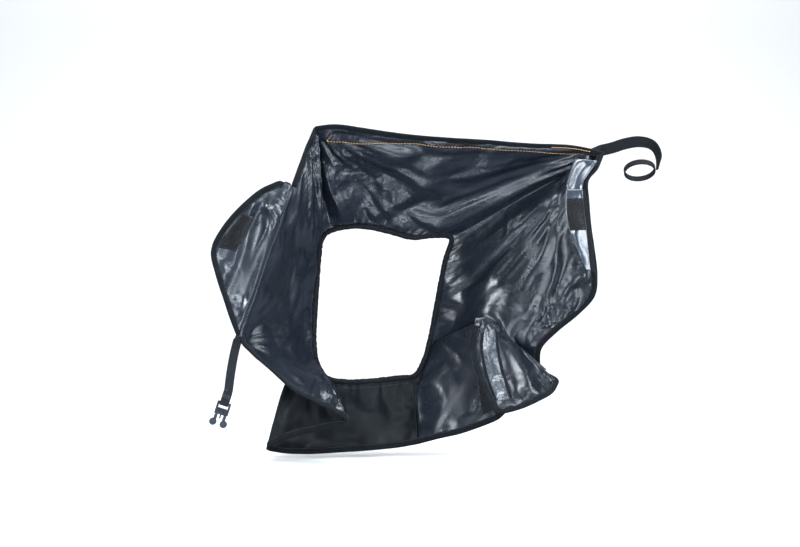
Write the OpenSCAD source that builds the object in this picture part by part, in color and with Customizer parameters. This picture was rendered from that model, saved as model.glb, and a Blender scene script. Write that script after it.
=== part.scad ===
// Camera rain cover: a soft sleeve with an elasticated rear opening, a bound front rim,
// hinged side flap, closure tab and fly, a buckle strap and an elastic hand loop.
// Millimetres, +Z up, -Y to the front, -X to the left. The origin is the centre of the rear opening.

/* [Fabric] */
// Thickness of the coated fabric panels
fabric_t = 0.8; // [0.5:0.1:1.0]
// Extra fullness (belly) of the panels, pushed to the rear
fullness = 6; // [0:1:10]
// Gap left at sewn edges and folds
seam_gap = 1.2; // [1:0.1:2]

/* [Binding] */
// Width of the folded edge binding
bind_w = 7.5; // [6.5:0.5:8]
// Thickness of the folded edge binding
bind_t = 3.2; // [3:0.1:3.6]
// Slot inside the binding that takes the fabric edge
bind_slot = 2.0; // [1.8:0.1:2.2]

/* [Rear opening] */
// Outer radius of the hem around the rear opening
hem_r = 3.4; // [3.2:0.1:3.6]
// Radius of the channel inside the hem
hem_bore_r = 2.1; // [2:0.05:2.2]
// Radius of the elastic cord in the hem
elastic_r = 1.3; // [1:0.1:1.5]

/* [Buckle] */
// Width of the buckle webbing
web_w = 10; // [9:0.5:10]
// Thickness of the buckle webbing
web_t = 1.1; // [0.8:0.1:1.2]
// Width of the plug's frame
plug_w = 15.5; // [15:0.5:17]
// Thickness of the plug and its prongs
plug_t = 4; // [3.5:0.5:4.5]
// Radius of the bar that the webbing loops round
bar_r = 1.6; // [1.4:0.1:1.7]

/* [Hand loop] */
// Width of the elastic band
band_w = 13; // [10:1:14]
// Inner radius of the ring at its end
ring_r = 16.5; // [15:0.5:17]
// Length of the ring along its axis
ring_l = 7; // [6:0.5:8]
// Wall thickness of the ring and the band
ring_t = 1.5; // [1.2:0.1:1.6]

/* [Stitching] */
// Thread radius
thread_r = 0.3; // [0.25:0.05:0.4]

/* [Hidden] */

charcoal = [0.14, 0.15, 0.19];
black = [0.06, 0.07, 0.08];
glossy = [0.24, 0.28, 0.36];
plastic = [0.12, 0.13, 0.14];
cord_grey = [0.3, 0.3, 0.32];
tape_grey = [0.3, 0.33, 0.36];
hem_thread = [0.85, 0.55, 0.25];
tack_thread = [0.1, 0.1, 0.1];

half_gap = seam_gap / 2;    // fabric edge at a fold line or panel end
bind_in = 2.4;              // fabric edge inside a binding
hem_in = hem_r + 1.2;       // fabric edge beside the hem
overcut = 1;                // how far a cutter runs past the part it cuts

// ---- layout space ----
// Layout points [x, z, depth] are set out on the plane at depth 0. The cover flares towards the
// rear: they are carried back along lines that meet at a point apex_dist in front, at apex_z.
apex_dist = 1500;
apex_z = 208.5;
opening_mid = [-19.5, 172, 50];
function flared(point) =
    let (spread = 1 + point[2] / apex_dist)
    [point[0] * spread, point[2], apex_z + (point[1] - apex_z) * spread];
function place(point) = flared(point) - flared(opening_mid);
function place_all(points) = [for (point = points) place(point)];

// ---- curves ----
function unit(vec) = vec / max(norm(vec), 1e-9);
function mix(start, end, t) = start + (end - start) * t;
function divide(start, end, n) = [for (i = [0:n]) mix(start, end, i / n)];
// Catmull-Rom curve between from and to
function spline(before, from, to, after, t) =
    0.5 * (2 * from + (to - before) * t
        + (2 * before - 5 * from + 4 * to - after) * t * t
        + (3 * from - before - 3 * to + after) * t * t * t);
// Point at u = 0..1 on an open curve
function along(curve, u) =
    let (
        last = len(curve) - 1,
        i = max(0, min(floor(u * last), last - 1)),
        from = curve[i],
        to = curve[i + 1],
        before = i > 0 ? curve[i - 1] : 2 * from - to,
        after = i < last - 1 ? curve[i + 2] : 2 * to - from
    )
    spline(before, from, to, after, u * last - i);
function resample(curve, n) = [for (i = [0:n]) along(curve, i / n)];
// Point at u on a closed curve, u from 0 to just under 1
function around(curve, u) =
    let (n = len(curve), i = floor(u * n))
    spline(curve[(i + n - 1) % n], curve[i], curve[(i + 1) % n], curve[(i + 2) % n], u * n - i);

// ---- panel surfaces ----
// A grid is a list of rows of layout points. u runs along the rows, v across them.
// Row at t between two edge rows, bulged by [start, middle, end] offsets
function bulged_row(first, last, t, bulge) =
    let (n = len(first) - 1)
    [for (k = [0:n]) let (u = k / n)
        mix(first[k], last[k], t)
            + bulge[0] * pow(1 - u, 3) + bulge[1] * 4 * u * (1 - u) + bulge[2] * pow(u, 3)];
// Grid between two edge rows, with one evenly spaced row for each bulge
function make_grid(first, last, bulges) =
    let (n = len(bulges))
    [first, for (k = [1:n]) bulged_row(first, last, k / (n + 1), bulges[k - 1]), last];
function surf(grid, u, v) = place(along([for (points = grid) along(points, u)], v));
function normal_at(grid, u, v) =
    let (
        step = 0.01,
        u0 = max(0, u - step),
        u1 = min(1, u + step),
        v0 = max(0, v - step),
        v1 = min(1, v + step)
    )
    unit(cross(surf(grid, u1, v) - surf(grid, u0, v), surf(grid, u, v1) - surf(grid, u, v0)));
// Straight-line size of a panel along u, and along v
function u_size(grid, v) = norm(surf(grid, 1, v) - surf(grid, 0, v));
function v_size(grid, u) = norm(surf(grid, u, 1) - surf(grid, u, 0));
// Sine of the angle between a panel's edge (v = 0 or 1) and its cross direction
function skew(grid, u, v) =
    let (
        u0 = max(0, u - 0.01),
        u1 = min(1, u + 0.01),
        inward = v < 0.5 ? 0.04 : -0.04,
        edge_dir = unit(surf(grid, u1, v) - surf(grid, u0, v)),
        cross_dir = unit(surf(grid, u, v + inward) - surf(grid, u, v))
    )
    max(0.4, norm(cross(edge_dir, cross_dir)));

function quad(i, j, k, m) = [[i, j, k], [i, k, m]];

// A thin closed sheet on part of a panel, lifted along the normal. first_in and last_in are the
// insets from the v = 0 and v = 1 edges, start_in and end_in those from the ends of the rows.
// ease adds to last_in at the row ends. v_ranges, if given, sets the v range at both ends instead.
module sheet(grid, cols, rows, first_in = 0, last_in = 0, start_in = half_gap, end_in = half_gap,
        u_range = [0, 1], thick = fabric_t, lift = 0, v_ranges = undef, ease = 0) {
    spots = [for (j = [0:rows], i = [0:cols])
        let (
            t = j / rows,
            width = max(u_size(grid, t), 4 * (start_in + end_in)),
            u_start = u_range[0] + (u_range[0] == 0 ? start_in / width : 0),
            u_end = u_range[1] - (u_range[1] == 1 ? end_in / width : 0),
            u = mix(u_start, u_end, i / cols),
            height = v_size(grid, u),
            eased_in = last_in + ease * pow(abs(2 * u - 1), 8),
            v_start = is_undef(v_ranges)
                ? first_in / height / skew(grid, u, 0)
                : mix(v_ranges[0][0], v_ranges[1][0], u),
            v_end = is_undef(v_ranges)
                ? 1 - eased_in / height / (last_in > 2 ? skew(grid, u, 1) : 1)
                : mix(v_ranges[0][1], v_ranges[1][1], u)
        )
        [u, mix(v_start, v_end, t)]];
    mids = [for (spot = spots) surf(grid, spot[0], spot[1])];
    normals = [for (spot = spots) normal_at(grid, spot[0], spot[1])];
    n = len(mids);
    row_n = cols + 1;
    far = rows * row_n; // first point of the last row
    points = [for (face = [lift + thick / 2, lift - thick / 2], i = [0:n - 1])
        mids[i] + normals[i] * face];
    faces = concat(
        [for (j = [0:rows - 1], i = [0:cols - 1]) let (k = j * row_n + i)
            each quad(k, k + row_n, k + row_n + 1, k + 1)],
        [for (j = [0:rows - 1], i = [0:cols - 1]) let (k = n + j * row_n + i)
            each quad(k, k + 1, k + row_n + 1, k + row_n)],
        [for (i = [0:cols - 1]) each quad(i, i + 1, n + i + 1, n + i)],
        [for (i = [0:cols - 1]) each quad(n + far + i, n + far + i + 1, far + i + 1, far + i)],
        [for (j = [0:rows - 1]) let (k = j * row_n)
            each quad(k, n + k, n + k + row_n, k + row_n)],
        [for (j = [0:rows - 1]) let (k = j * row_n + cols)
            each quad(k, k + row_n, n + k + row_n, n + k)]);
    polyhedron(points, faces);
}

// A strip beside the u = 0 edge, between two distances inside it
module strip(grid, rows, near, wide, v_range, thick, lift) {
    far = near + wide;
    low = lift - thick / 2;
    high = lift + thick / 2;
    points = [for (v = divide(v_range[0], v_range[1], rows))
        let (
            width = u_size(grid, v),
            near_point = surf(grid, near / width, v),
            far_point = surf(grid, far / width, v),
            normal = normal_at(grid, (near + far) / 2 / width, v)
        )
        each [near_point + normal * low, far_point + normal * low,
            far_point + normal * high, near_point + normal * high]];
    end = 4 * rows;
    faces = concat(
        quad(0, 3, 2, 1),
        quad(end, end + 1, end + 2, end + 3),
        [for (j = [0:rows - 1], k = [0:3]) let (i = 4 * j + k, next = 4 * j + (k + 1) % 4)
            each quad(i, next, next + 4, i + 4)]);
    polyhedron(points, faces);
}

// Sweeps a profile of [sideways, normal] points along a path. With mitre the side direction is
// kept as given and stretched, so that the strip keeps its width and its ends follow the seam.
module sweep(path, side, profile, closed = false, mitre = false) {
    n = len(path);
    sides = len(profile);
    tangents = [for (i = [0:n - 1])
        unit(path[closed ? (i + 1) % n : min(i + 1, n - 1)]
            - path[closed ? (i + n - 1) % n : max(i - 1, 0)])];
    square = [for (i = [0:n - 1])
        unit(side[i]) - (unit(side[i]) * tangents[i]) * tangents[i]];
    across = [for (i = [0:n - 1])
        mitre ? unit(side[i]) / max(norm(square[i]), 0.4) : unit(square[i])];
    normals = [for (i = [0:n - 1]) cross(tangents[i], unit(square[i]))];
    points = [for (i = [0:n - 1], spot = profile)
        path[i] + across[i] * spot[0] + normals[i] * spot[1]];
    walls = [for (i = [0:closed ? n - 1 : n - 2], k = [0:sides - 1])
        let (here = i * sides, next = (i + 1) % n * sides, turn = (k + 1) % sides)
        each quad(here + k, next + k, next + turn, here + turn)];
    caps = [[for (k = [0:sides - 1]) k], [for (k = [sides - 1:-1:0]) (n - 1) * sides + k]];
    polyhedron(points, closed ? walls : concat(walls, caps));
}

function ngon(radius, n) = [for (i = [0:n - 1]) radius * [cos(360 * i / n), sin(360 * i / n)]];
module thread(path, side) {
    sweep(path, [for (point = path) side], ngon(thread_r, 4));
}
module ribbon(path, side, wide, thick) {
    sweep(path, side, [[-wide / 2, -thick / 2], [wide / 2, -thick / 2],
        [wide / 2, thick / 2], [-wide / 2, thick / 2]]);
}

// Folded binding: a tape turned over the edge, open on its inner side
bind_floor = 1.6;   // bottom of the slot, from the outer edge
bind_round = 1.2;   // length of the tapered nose
bind_profile = [
    [bind_w, -bind_t / 2], [bind_w, -bind_slot / 2],
    [bind_floor, -bind_slot / 2], [bind_floor, bind_slot / 2],
    [bind_w, bind_slot / 2], [bind_w, bind_t / 2],
    [bind_round, bind_t / 2], [0, bind_t / 4], [0, -bind_t / 4], [bind_round, -bind_t / 2]];
// How far into the panel, as a share of its size, the binding's side direction is taken
function bind_reach(size) = min(0.3, 0.8 * bind_w / size);
// Binding on the v = 0 edge of a panel
module binding(grid, n, u_range = [0, 1]) {
    end_gap = half_gap / u_size(grid, 0);
    stations = divide(max(u_range[0], end_gap), min(u_range[1], 1 - end_gap), n);
    sweep([for (u = stations) surf(grid, u, 0)],
        [for (u = stations) surf(grid, u, bind_reach(v_size(grid, u))) - surf(grid, u, 0)],
        bind_profile, mitre = true);
}
// The same binding on the u = 0 edge
module end_binding(grid, n, v_range) {
    stations = divide(v_range[0], v_range[1], n);
    sweep([for (v = stations) surf(grid, 0, v)],
        [for (v = stations) surf(grid, bind_reach(u_size(grid, v)), v) - surf(grid, 0, v)],
        bind_profile, mitre = true);
}

// ---- outlines: layout points [x, z, depth] ----
// Rear opening, clockwise seen from the front, from its top left corner
hole = [
    [-91, 245, 44], [-83, 256, 48], [-63, 262, 52], [-37, 262, 54], [-10, 256, 55], [14, 250, 56],
    [38, 252, 56], [59, 249, 55], [52, 223, 58], [46, 192, 60], [40, 160, 60], [34, 129, 58],
    [27, 107, 54], [17, 91, 50], [-4, 88, 48], [-34, 85, 47], [-62, 84, 47], [-85, 89, 48],
    [-96, 108, 49], [-99, 134, 50], [-98, 162, 50], [-96, 190, 49], [-94, 220, 47]];
// Fold lines about which the side flap, the fly and the closure tab turn
flap_fold_top = [-125, 310, -40];
flap_fold_low = [-184, 136, -56];
fly_fold_low = [183, 83, 0];
fly_fold_top = [99, 159, 8];
tab_fold_top = [210, 305, -34];
tab_fold_low = [219, 212, -49];

// Top panel: rim from left to right
rim_top = [
    [-98, 378, -20], [-72, 380, -26], [-36, 375, -30], [6, 369, -32], [52, 365, -33],
    [100, 362, -31], [150, 358, -27], [197, 356, -20], [235, 350, -12]];
// Right panel: rim from top to bottom
right_rim = [
    [237, 347, -12], [228, 329, -20], [217, 315, -27], [218, 290, -31], [220, 264, -35],
    [224, 236, -40], [227, 207, -44], [224, 182, -44], [205, 161, -32], [182, 142, -16],
    [163, 122, -2], [161, 101, 8]];
// Left panel: outer and inner edges from top to bottom
left_outer = concat(
    [[-103, 368, -24], [-114, 340, -32]],
    divide(flap_fold_top, flap_fold_low, 4),
    [[-172, 118, -54], [-150, 99, -52], [-126, 77, -49], [-101, 62, -46], [-80, 52, -43],
        [-66, 43, -40]]);
left_inner = [
    [-94, 367, -21], [-92, 337, -13], [-90, 310, -6], [-89, 277, 14], [-92, 245, 42],
    [-95, 208, 48], [-98, 168, 50], [-99, 137, 50], [-97, 113, 47], [-88, 97, 20],
    [-79, 83, -6], [-72, 68, -21], [-64, 52, -34]];
// Side flap: free edge from top to bottom
flap_rim = [
    [-139, 316, -46], [-163, 304, -56], [-186, 284, -66], [-205, 261, -74], [-217, 236, -78],
    [-213, 210, -76], [-204, 182, -70], [-195, 155, -63], [-188, 136, -57]];
// Left gusset, bottom panel, lower right panel and fly: low and top edges from left to right
gusset_low = [[-148, 10, 8], [-132, 18, -2], [-108, 24, -12], [-83, 30, -21], [-63, 32, -29]];
gusset_top = [[-109, 121, 47], [-108, 120.5, 47], [-107, 120, 47], [-106, 119, 47],
    [-105, 118, 47]];
bottom_low = [[-150, 4, 16], [-126, 1, 26], [-95, 1, 33], [-63, 3, 37], [-33, 5, 38],
    [-4, 8, 37], [21, 12, 33]];
bottom_top = concat([[-108, 122, 56]], [for (k = [18:-1:14]) hole[k]], [[15, 90, 50]]);
lower_low = [[22.5, 12.5, 32], [44, 18, 22], [70, 24, 13], [96, 33, 4], [114, 41, -4],
    [123, 50, -9]];
lower_top = [hole[11] + [5, 1, 0], [50, 137, 46], [67, 144.5, 35], [83, 151, 25],
    [99, 154.5, 16], [112, 150, 12]];
fly_low = [[109, 47, -36], [124, 48, -35], [144, 54, -31], [165, 64, -24], [177, 72, -13],
    fly_fold_low];
fly_top_start = [87, 158, 8];
// Closure tab: free edge from top to bottom
tab_free = [[191, 305, -36], [190, 286, -39], [192, 268, -43], [198, 248, -46], [206, 230, -49],
    [214, 213, -51]];
// Top right corner facing: right and left edges from top to bottom
corner_right = [[227, 338, -21], [219, 326, -25], [212, 316, -29], [210, 309, -31]];
corner_left = [[201, 341, -18], [197, 330, -24], [193, 318, -29], [191, 309, -33]];

// ---- panel grids: two edges and the [start, middle, end] bulges of the rows between ----
flat = [0, 0, 0];
belly = [0, 0, fullness];
top_grid = make_grid(rim_top, resample([for (k = [0:7]) hole[k]], 8),
    [[[-8, 2, 2], belly, flat], [[-6, 0, 4], belly, flat]]);
right_grid = make_grid(right_rim, resample([for (k = [7:11]) hole[k]], 11),
    [[flat, belly, [20, 5, -12]], [flat, belly, [22, 36, -25]]]);
left_grid = make_grid(left_outer, left_inner,
    [[flat, belly / 2, flat], [flat, belly / 3, flat]]);
flap_grid = make_grid(flap_rim, divide(flap_fold_top, flap_fold_low, 8),
    [[flat, belly / 2, flat], [flat, belly / 2, flat]]);
gusset_grid = make_grid(gusset_low, gusset_top,
    [[[-6, -5, -8], [0, 0, 2], [7, 1, -10]], [[-9, -5, -13], [0, 0, 5], [3, 0, -2]]]);
bottom_grid = make_grid(bottom_low, bottom_top,
    [[[-7, -4, -12], [0, 0, 5], flat], [[-9, -4, -16], [0, 0, 5], flat]]);
lower_grid = make_grid(lower_low, lower_top,
    [[[-5.5, 0, -1], [0, 0, 2], flat], [[-11, 0, 1], [0, 0, 3], flat],
        [[-7, 0, 1], [0, 0, 2], flat]]);
fly_grid = make_grid(fly_low, divide(fly_top_start, fly_fold_top, 5),
    [[[-10, 0, -5], [0, 0, -3], flat], [[-13, 0, -8], [0, 0, -3], flat]]);
tab_grid = make_grid(divide(tab_fold_top, tab_fold_low, 5), tab_free,
    [[flat, [0, 0, -1.5], flat], [flat, [0, 0, -1.5], flat]]);
corner_grid = make_grid(corner_right, corner_left, [[flat, [0, 0, -1], flat]]);

// ---- fabric panels ----
module top_panel() {
    color(charcoal) sheet(top_grid, 26, 10, first_in = bind_in, last_in = hem_in, ease = 1.5);
}
module right_panel() {
    color(charcoal)
        sheet(right_grid, 22, 12, first_in = bind_in + 1, last_in = hem_in, ease = 1.5);
}
module left_panel() {
    color(charcoal)
        sheet(left_grid, 26, 6, first_in = bind_in + 1.4, last_in = hem_in, start_in = 4);
}
module left_flap() {
    color(glossy)
        sheet(flap_grid, 16, 5, first_in = bind_in, last_in = half_gap, start_in = 3,
            u_range = [0, 0.94]);
}
module left_gusset() {
    color(charcoal) sheet(gusset_grid, 6, 9, first_in = bind_in, last_in = 1);
}
module bottom_panel() {
    color(charcoal) sheet(bottom_grid, 14, 8, first_in = bind_in, last_in = hem_in);
}
module lower_right_panel() {
    color(charcoal)
        sheet(lower_grid, 10, 9, first_in = bind_in, last_in = 0.8, start_in = 1.6, end_in = 1);
}
module fly_flap() {
    color(charcoal)
        sheet(fly_grid, 10, 12, first_in = bind_in, last_in = 1, start_in = bind_in);
}
module closure_tab() {
    color(glossy) sheet(tab_grid, 8, 3, first_in = half_gap, last_in = 0.2);
}
module corner_facing() {
    color(glossy) sheet(corner_grid, 4, 3, first_in = half_gap, last_in = 0.2);
}

// ---- bindings round the front rim ----
module top_binding() { color(black) binding(top_grid, 26); }
module right_binding() { color(black) binding(right_grid, 22); }
module corner_binding() { color(black) binding(left_grid, 5, [0, 0.14]); }
module left_lower_binding() { color(black) binding(left_grid, 12, [0.51, 1]); }
module flap_binding() { color(black) binding(flap_grid, 15, [0, 0.955]); }
module gusset_binding() { color(black) binding(gusset_grid, 8); }
module bottom_binding() { color(black) binding(bottom_grid, 14); }
module lower_right_binding() { color(black) binding(lower_grid, 10); }
module fly_rim_binding() { color(black) binding(fly_grid, 10, [0.14, 1]); }
module fly_edge_binding() { color(black) end_binding(fly_grid, 14, [0, 0.9]); }

// ---- rear opening: a turned hem with an elastic cord inside ----
hem_n = 56;
hem_path = [for (i = [0:hem_n - 1]) place(around(hole, i / hem_n))];
hem_side = [for (point = hem_path) [point[0], 0, point[2]]];
hem_mouth = 28; // half angle of the hem's open side, which faces away from the opening
hem_angles = divide(hem_mouth, 360 - hem_mouth, 7);
module rear_hem() {
    outer = [for (a = hem_angles) hem_r * [cos(a), sin(a)]];
    inner = [for (k = [7:-1:0]) hem_bore_r * [cos(hem_angles[k]), sin(hem_angles[k])]];
    color(black) sweep(hem_path, hem_side, concat(outer, inner), closed = true);
}
module hem_elastic() {
    color(cord_grey) sweep(hem_path, hem_side, ngon(elastic_r, 6), closed = true);
}

// ---- sewn-on pieces and thread ----
facing_v = [[0.075, 0.145], [0.075, 0.09]]; // top facing: v range at its left and right ends
module top_facing() {
    color(charcoal)
        sheet(top_grid, 26, 2, u_range = [0.04, 0.94], thick = 0.5, lift = -1.3,
            v_ranges = facing_v);
}
module top_hem_stitching() {
    edge_in = 0.006; // distance in v from the edge of the facing
    path = [for (u = divide(0.06, 0.92, 40))
        let (v = mix(facing_v[0][1], facing_v[1][1], u) - edge_in)
        surf(top_grid, u, v) - normal_at(top_grid, u, v) * (1.7 + thread_r)];
    color(hem_thread) thread(path, [0, 0, 1]);
}
module left_loop_patch() {
    color(black)
        sheet(flap_grid, 5, 3, u_range = [0.27, 0.48], thick = 1.2, lift = 1.5,
            v_ranges = [[0.262, 0.557], [-0.01, 0.271]]);
}
module fly_loop_tape() {
    color(black)
        sheet(lower_grid, 2, 8, u_range = [0.60, 0.80], thick = 1.0, lift = 1.4,
            v_ranges = [[0.1, 0.85], [0.1, 0.85]]);
}
module tab_hook_patch() {
    color(black)
        sheet(tab_grid, 4, 3, u_range = [0.11, 0.5], thick = 1.2, lift = -1.5,
            v_ranges = [[0.07, 0.94], [0.07, 0.94]]);
}
// Fly tape: distance from the fly's edge, width, and v range
tape_in = bind_w + 2.8;
tape_w = 15;
tape_v = [0.12, 0.84];
module fly_hook_tape() {
    color(tape_grey)
        strip(fly_grid, 14, near = tape_in, wide = tape_w, v_range = tape_v, thick = 1.0,
            lift = 1.6);
}
// A row of stitches inside each long edge of the tape
module fly_stitching() {
    stitch_in = 1.2;
    color(black)
        for (x = [tape_in + stitch_in, tape_in + tape_w - stitch_in])
            thread([for (v = divide(tape_v[0] + 0.01, tape_v[1] - 0.01, 16))
                surf(fly_grid, x / u_size(fly_grid, v), v)
                    + normal_at(fly_grid, 0.25, v) * (2.3 + thread_r)], [1, 0, 0]);
}

// ---- buckle parts ----
web_gap = 0.1; // clearance of the webbing on its bar
web_in_r = bar_r + web_gap;
web_out_r = web_in_r + web_t;
web_mid_r = web_in_r + web_t / 2;
// Webbing turned round a bar: two legs and a true half round, seen along the bar
module web_loop(front_h, back_h) {
    rotate([90, 0, 90]) translate([0, 0, -web_w / 2]) linear_extrude(web_w) difference() {
        union() {
            circle(r = web_out_r, $fn = 48);
            translate([-web_out_r, 0]) square([web_t, front_h]);
            translate([web_in_r, 0]) square([web_t, back_h]);
        }
        circle(r = web_in_r, $fn = 48);
        translate([-web_in_r, 0]) square([2 * web_in_r, max(front_h, back_h) + overcut]);
    }
}
// Flat webbing along a list of layout points
module webbing(points, n) {
    path = resample(place_all(points), n);
    ribbon(path, [for (point = path) [1, 0, 0]], web_w, web_t);
}
// Upright plate with rounded corners, centred on [x, 0, z]
module round_plate(x = 0, z, wide, high, thick, corner) {
    translate([x, 0, z]) rotate([90, 0, 0]) linear_extrude(thick, center = true) union() {
        square([wide - 2 * corner, high], center = true);
        square([wide, high - 2 * corner], center = true);
        for (i = [-1, 1], j = [-1, 1])
            translate([i * (wide / 2 - corner), j * (high / 2 - corner)])
                circle(r = corner, $fn = 24);
    }
}
module web_bar(length) {
    rotate([0, 90, 0]) cylinder(r = bar_r, h = length, center = true, $fn = 40);
}

// ---- buckle strap and plug; the plug hangs from its bar, leaning sideways ----
plug_spot = [-202, 59, -50];
plug_lean = 18;
prong_t = plug_t - 0.6;
module on_plug() translate(place(plug_spot)) rotate([0, plug_lean, 0]) children();
module strap_loop() { color(black) on_plug() web_loop(front_h = 15, back_h = 13); }
strap_depth = plug_spot[2] - web_mid_r; // depth of the loop's front leg
strap_points = [[-197.1, 74.9, strap_depth], [-195.5, 88, strap_depth], [-193.2, 103, -51.5],
    [-190.5, 117, -49.5], [-187, 131.5, -46.5]];
module buckle_strap() { color(black) webbing(strap_points, 14); }
// Five cross stitches through the loop
module strap_bartack() {
    tack_z = 6.5;
    tack_pitch = 0.9;
    tack_r = 0.3;
    tack_l = web_w - 1.5;
    color(tack_thread) on_plug() for (k = [0:4])
        translate([0, 0, tack_z + k * tack_pitch]) rotate([0, 90, 0])
            cylinder(r = tack_r, h = tack_l, center = true, $fn = 16);
}
// Bar, two side arms, cross plate and a tongue below it
module buckle_frame() {
    arm_w = 2.2;
    color(plastic) on_plug() {
        web_bar(plug_w - 2);
        for (i = [-1, 1])
            round_plate(x = i * (plug_w - arm_w) / 2, z = -3,
                wide = arm_w, high = 9.2, thick = plug_t, corner = 1);
        round_plate(z = -9.4, wide = plug_w, high = 7.2, thick = plug_t, corner = 1.2);
        round_plate(z = -14.4, wide = 1.6, high = 6, thick = plug_t * 0.7, corner = 0.7);
    }
}
// A stem with a round head, cut back on the side facing the other prong; side is -1 or 1
module prong(side) {
    head_at = [6.1, 0, -22.6];
    head_r = 4.1;
    color(plastic) on_plug() mirror([side > 0 ? 0 : 1, 0, 0]) difference() {
        union() {
            round_plate(x = 5.0, z = -18, wide = 3.4, high = 9, thick = prong_t, corner = 0.8);
            translate(head_at) rotate([90, 0, 0])
                cylinder(r = head_r, h = prong_t, center = true, $fn = 40);
        }
        translate([0, 0, -22]) cube([3.6, 10, 12], center = true);
    }
}
module prong_left() { prong(-1); }
module prong_right() { prong(1); }

// ---- socket half of the buckle, hung behind the right side ----
socket_spot = [150, 95, 22];
socket_strap_points = [[socket_spot[0], 107.9, socket_spot[2] - web_mid_r],
    [socket_spot[0], 116, 18.6], [socket_spot[0], 124, 15]];
module on_socket() translate(place(socket_spot)) children();
module socket_strap() { color(black) webbing(socket_strap_points, 6); }
module socket_loop() { color(black) on_socket() web_loop(front_h = 12, back_h = 10); }
// Bar, two side arms and a hollow body, open below, with a notch in each side
module buckle_socket() {
    body_w = 24;
    color(plastic) on_socket() {
        web_bar(plug_w);
        for (i = [-1, 1])
            round_plate(x = i * (plug_w / 2 + 0.5), z = -3,
                wide = 2.4, high = 9.4, thick = plug_t + 1, corner = 1);
        difference() {
            round_plate(z = -16, wide = body_w, high = 19, thick = plug_t + 3, corner = 3);
            translate([0, 0, -17.5]) cube([20.8, plug_t + 0.6, 20], center = true);
            for (i = [-1, 1])
                translate([i * body_w / 2, 0, -15]) cube([5, 10, 8], center = true);
        }
    }
}

// ---- elastic hand loop ----
band_points = [[231, 350, -4], [244, 353, -7], [258, 357.5, -9], [273, 360, -9], [286, 358, -5],
    [293.5, 352, 0], [297, 344, 3], [296.8, 335, 4], [295.6, 328, 4]];
// Direction [x, y, z] of the band's width at each point
band_dirs = [[-0.25, 0, 1], [-0.25, -0.05, 1], [-0.25, -0.15, 1], [0, -0.3, 1],
    [0.3, -0.6, 0.8], [0.45, -0.9, 0.4], [0.4, -0.95, 0.1], [0.1, -1, 0.1], [0, -1, 0.2]];
module hand_band() {
    color(black)
        ribbon(resample(place_all(band_points), 24), resample(band_dirs, 24), band_w, ring_t);
}
ring_spot = [275.5, 327, 4];
ring_tilt = 60;
module hand_ring() {
    color(black) translate(place(ring_spot)) rotate([90 + ring_tilt, 0, 0]) difference() {
        cylinder(r = ring_r + ring_t, h = ring_l, center = true, $fn = 96);
        cylinder(r = ring_r, h = ring_l + 2 * overcut, center = true, $fn = 96);
    }
}

top_panel();
right_panel();
left_panel();
left_gusset();
bottom_panel();
lower_right_panel();
top_binding();
right_binding();
corner_binding();
left_lower_binding();
gusset_binding();
bottom_binding();
lower_right_binding();
rear_hem();
hem_elastic();
top_hem_stitching();
top_facing();
corner_facing();
fly_loop_tape();
left_flap();
flap_binding();
left_loop_patch();
fly_flap();
fly_edge_binding();
fly_rim_binding();
fly_hook_tape();
fly_stitching();
closure_tab();
tab_hook_patch();
buckle_strap();
strap_loop();
strap_bartack();
buckle_frame();
prong_left();
prong_right();
hand_band();
hand_ring();
socket_strap();
socket_loop();
buckle_socket();
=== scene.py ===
# Camera rain cover: a creased fabric shell open at the front rim and at a gathered rear hole, with
# a side flap, a fly, a closure tab, bound edges, buckle webbing and a hand loop.
# Frame: +X right as seen from the front, +Y to the rear, +Z up. Shapes are worked out in
# millimetres round ORIGIN and scaled to metres when a mesh is made.
# u and v are shares 0..1 across the columns and rows of a grid.
import bpy
import bmesh
import math
import numpy as np
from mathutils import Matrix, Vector


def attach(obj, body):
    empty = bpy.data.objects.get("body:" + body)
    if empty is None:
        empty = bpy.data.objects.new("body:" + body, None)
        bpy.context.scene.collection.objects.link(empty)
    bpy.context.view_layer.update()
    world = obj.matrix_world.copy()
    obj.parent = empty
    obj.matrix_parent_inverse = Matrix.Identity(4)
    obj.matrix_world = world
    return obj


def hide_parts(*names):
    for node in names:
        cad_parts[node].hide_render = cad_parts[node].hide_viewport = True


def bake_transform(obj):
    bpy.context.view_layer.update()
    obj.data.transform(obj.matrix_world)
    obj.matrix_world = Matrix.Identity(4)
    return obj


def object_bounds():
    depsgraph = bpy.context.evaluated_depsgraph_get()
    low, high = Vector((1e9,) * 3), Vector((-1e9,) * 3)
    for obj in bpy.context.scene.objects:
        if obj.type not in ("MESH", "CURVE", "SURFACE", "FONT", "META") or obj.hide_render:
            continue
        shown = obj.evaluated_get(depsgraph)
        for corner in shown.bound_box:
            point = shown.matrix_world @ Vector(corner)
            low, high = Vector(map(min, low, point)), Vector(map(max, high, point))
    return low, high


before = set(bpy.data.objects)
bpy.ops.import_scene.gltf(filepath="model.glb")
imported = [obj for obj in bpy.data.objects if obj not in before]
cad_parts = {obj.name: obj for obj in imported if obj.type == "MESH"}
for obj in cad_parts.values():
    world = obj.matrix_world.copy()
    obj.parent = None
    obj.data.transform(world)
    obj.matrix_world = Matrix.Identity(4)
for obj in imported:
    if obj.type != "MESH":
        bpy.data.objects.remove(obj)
cad_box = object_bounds()
MM = 0.001

# ------------------------------------------------------------------ layout
# Layout points are [x, z, depth] in mm on the plane of the front rim. The cover flares to the
# rear: x and z grow with depth from an apex FLARE_LENGTH in front of that plane at height FLARE_Z.
FLARE_LENGTH, FLARE_Z = 1500.0, 208.5


def vec(*values):
    return np.array(values, float)


def flared(points):
    """layout points in mm along X, Y and Z"""
    points = np.asarray(points, float)
    scale = 1 + points[..., 2] / FLARE_LENGTH
    height = FLARE_Z + (points[..., 1] - FLARE_Z) * scale
    return np.stack([points[..., 0] * scale, points[..., 2], height], -1)


ORIGIN = flared(vec(-19.5, 172, 50))


def place(points):
    """layout points in the part's frame"""
    return flared(points) - ORIGIN


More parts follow.
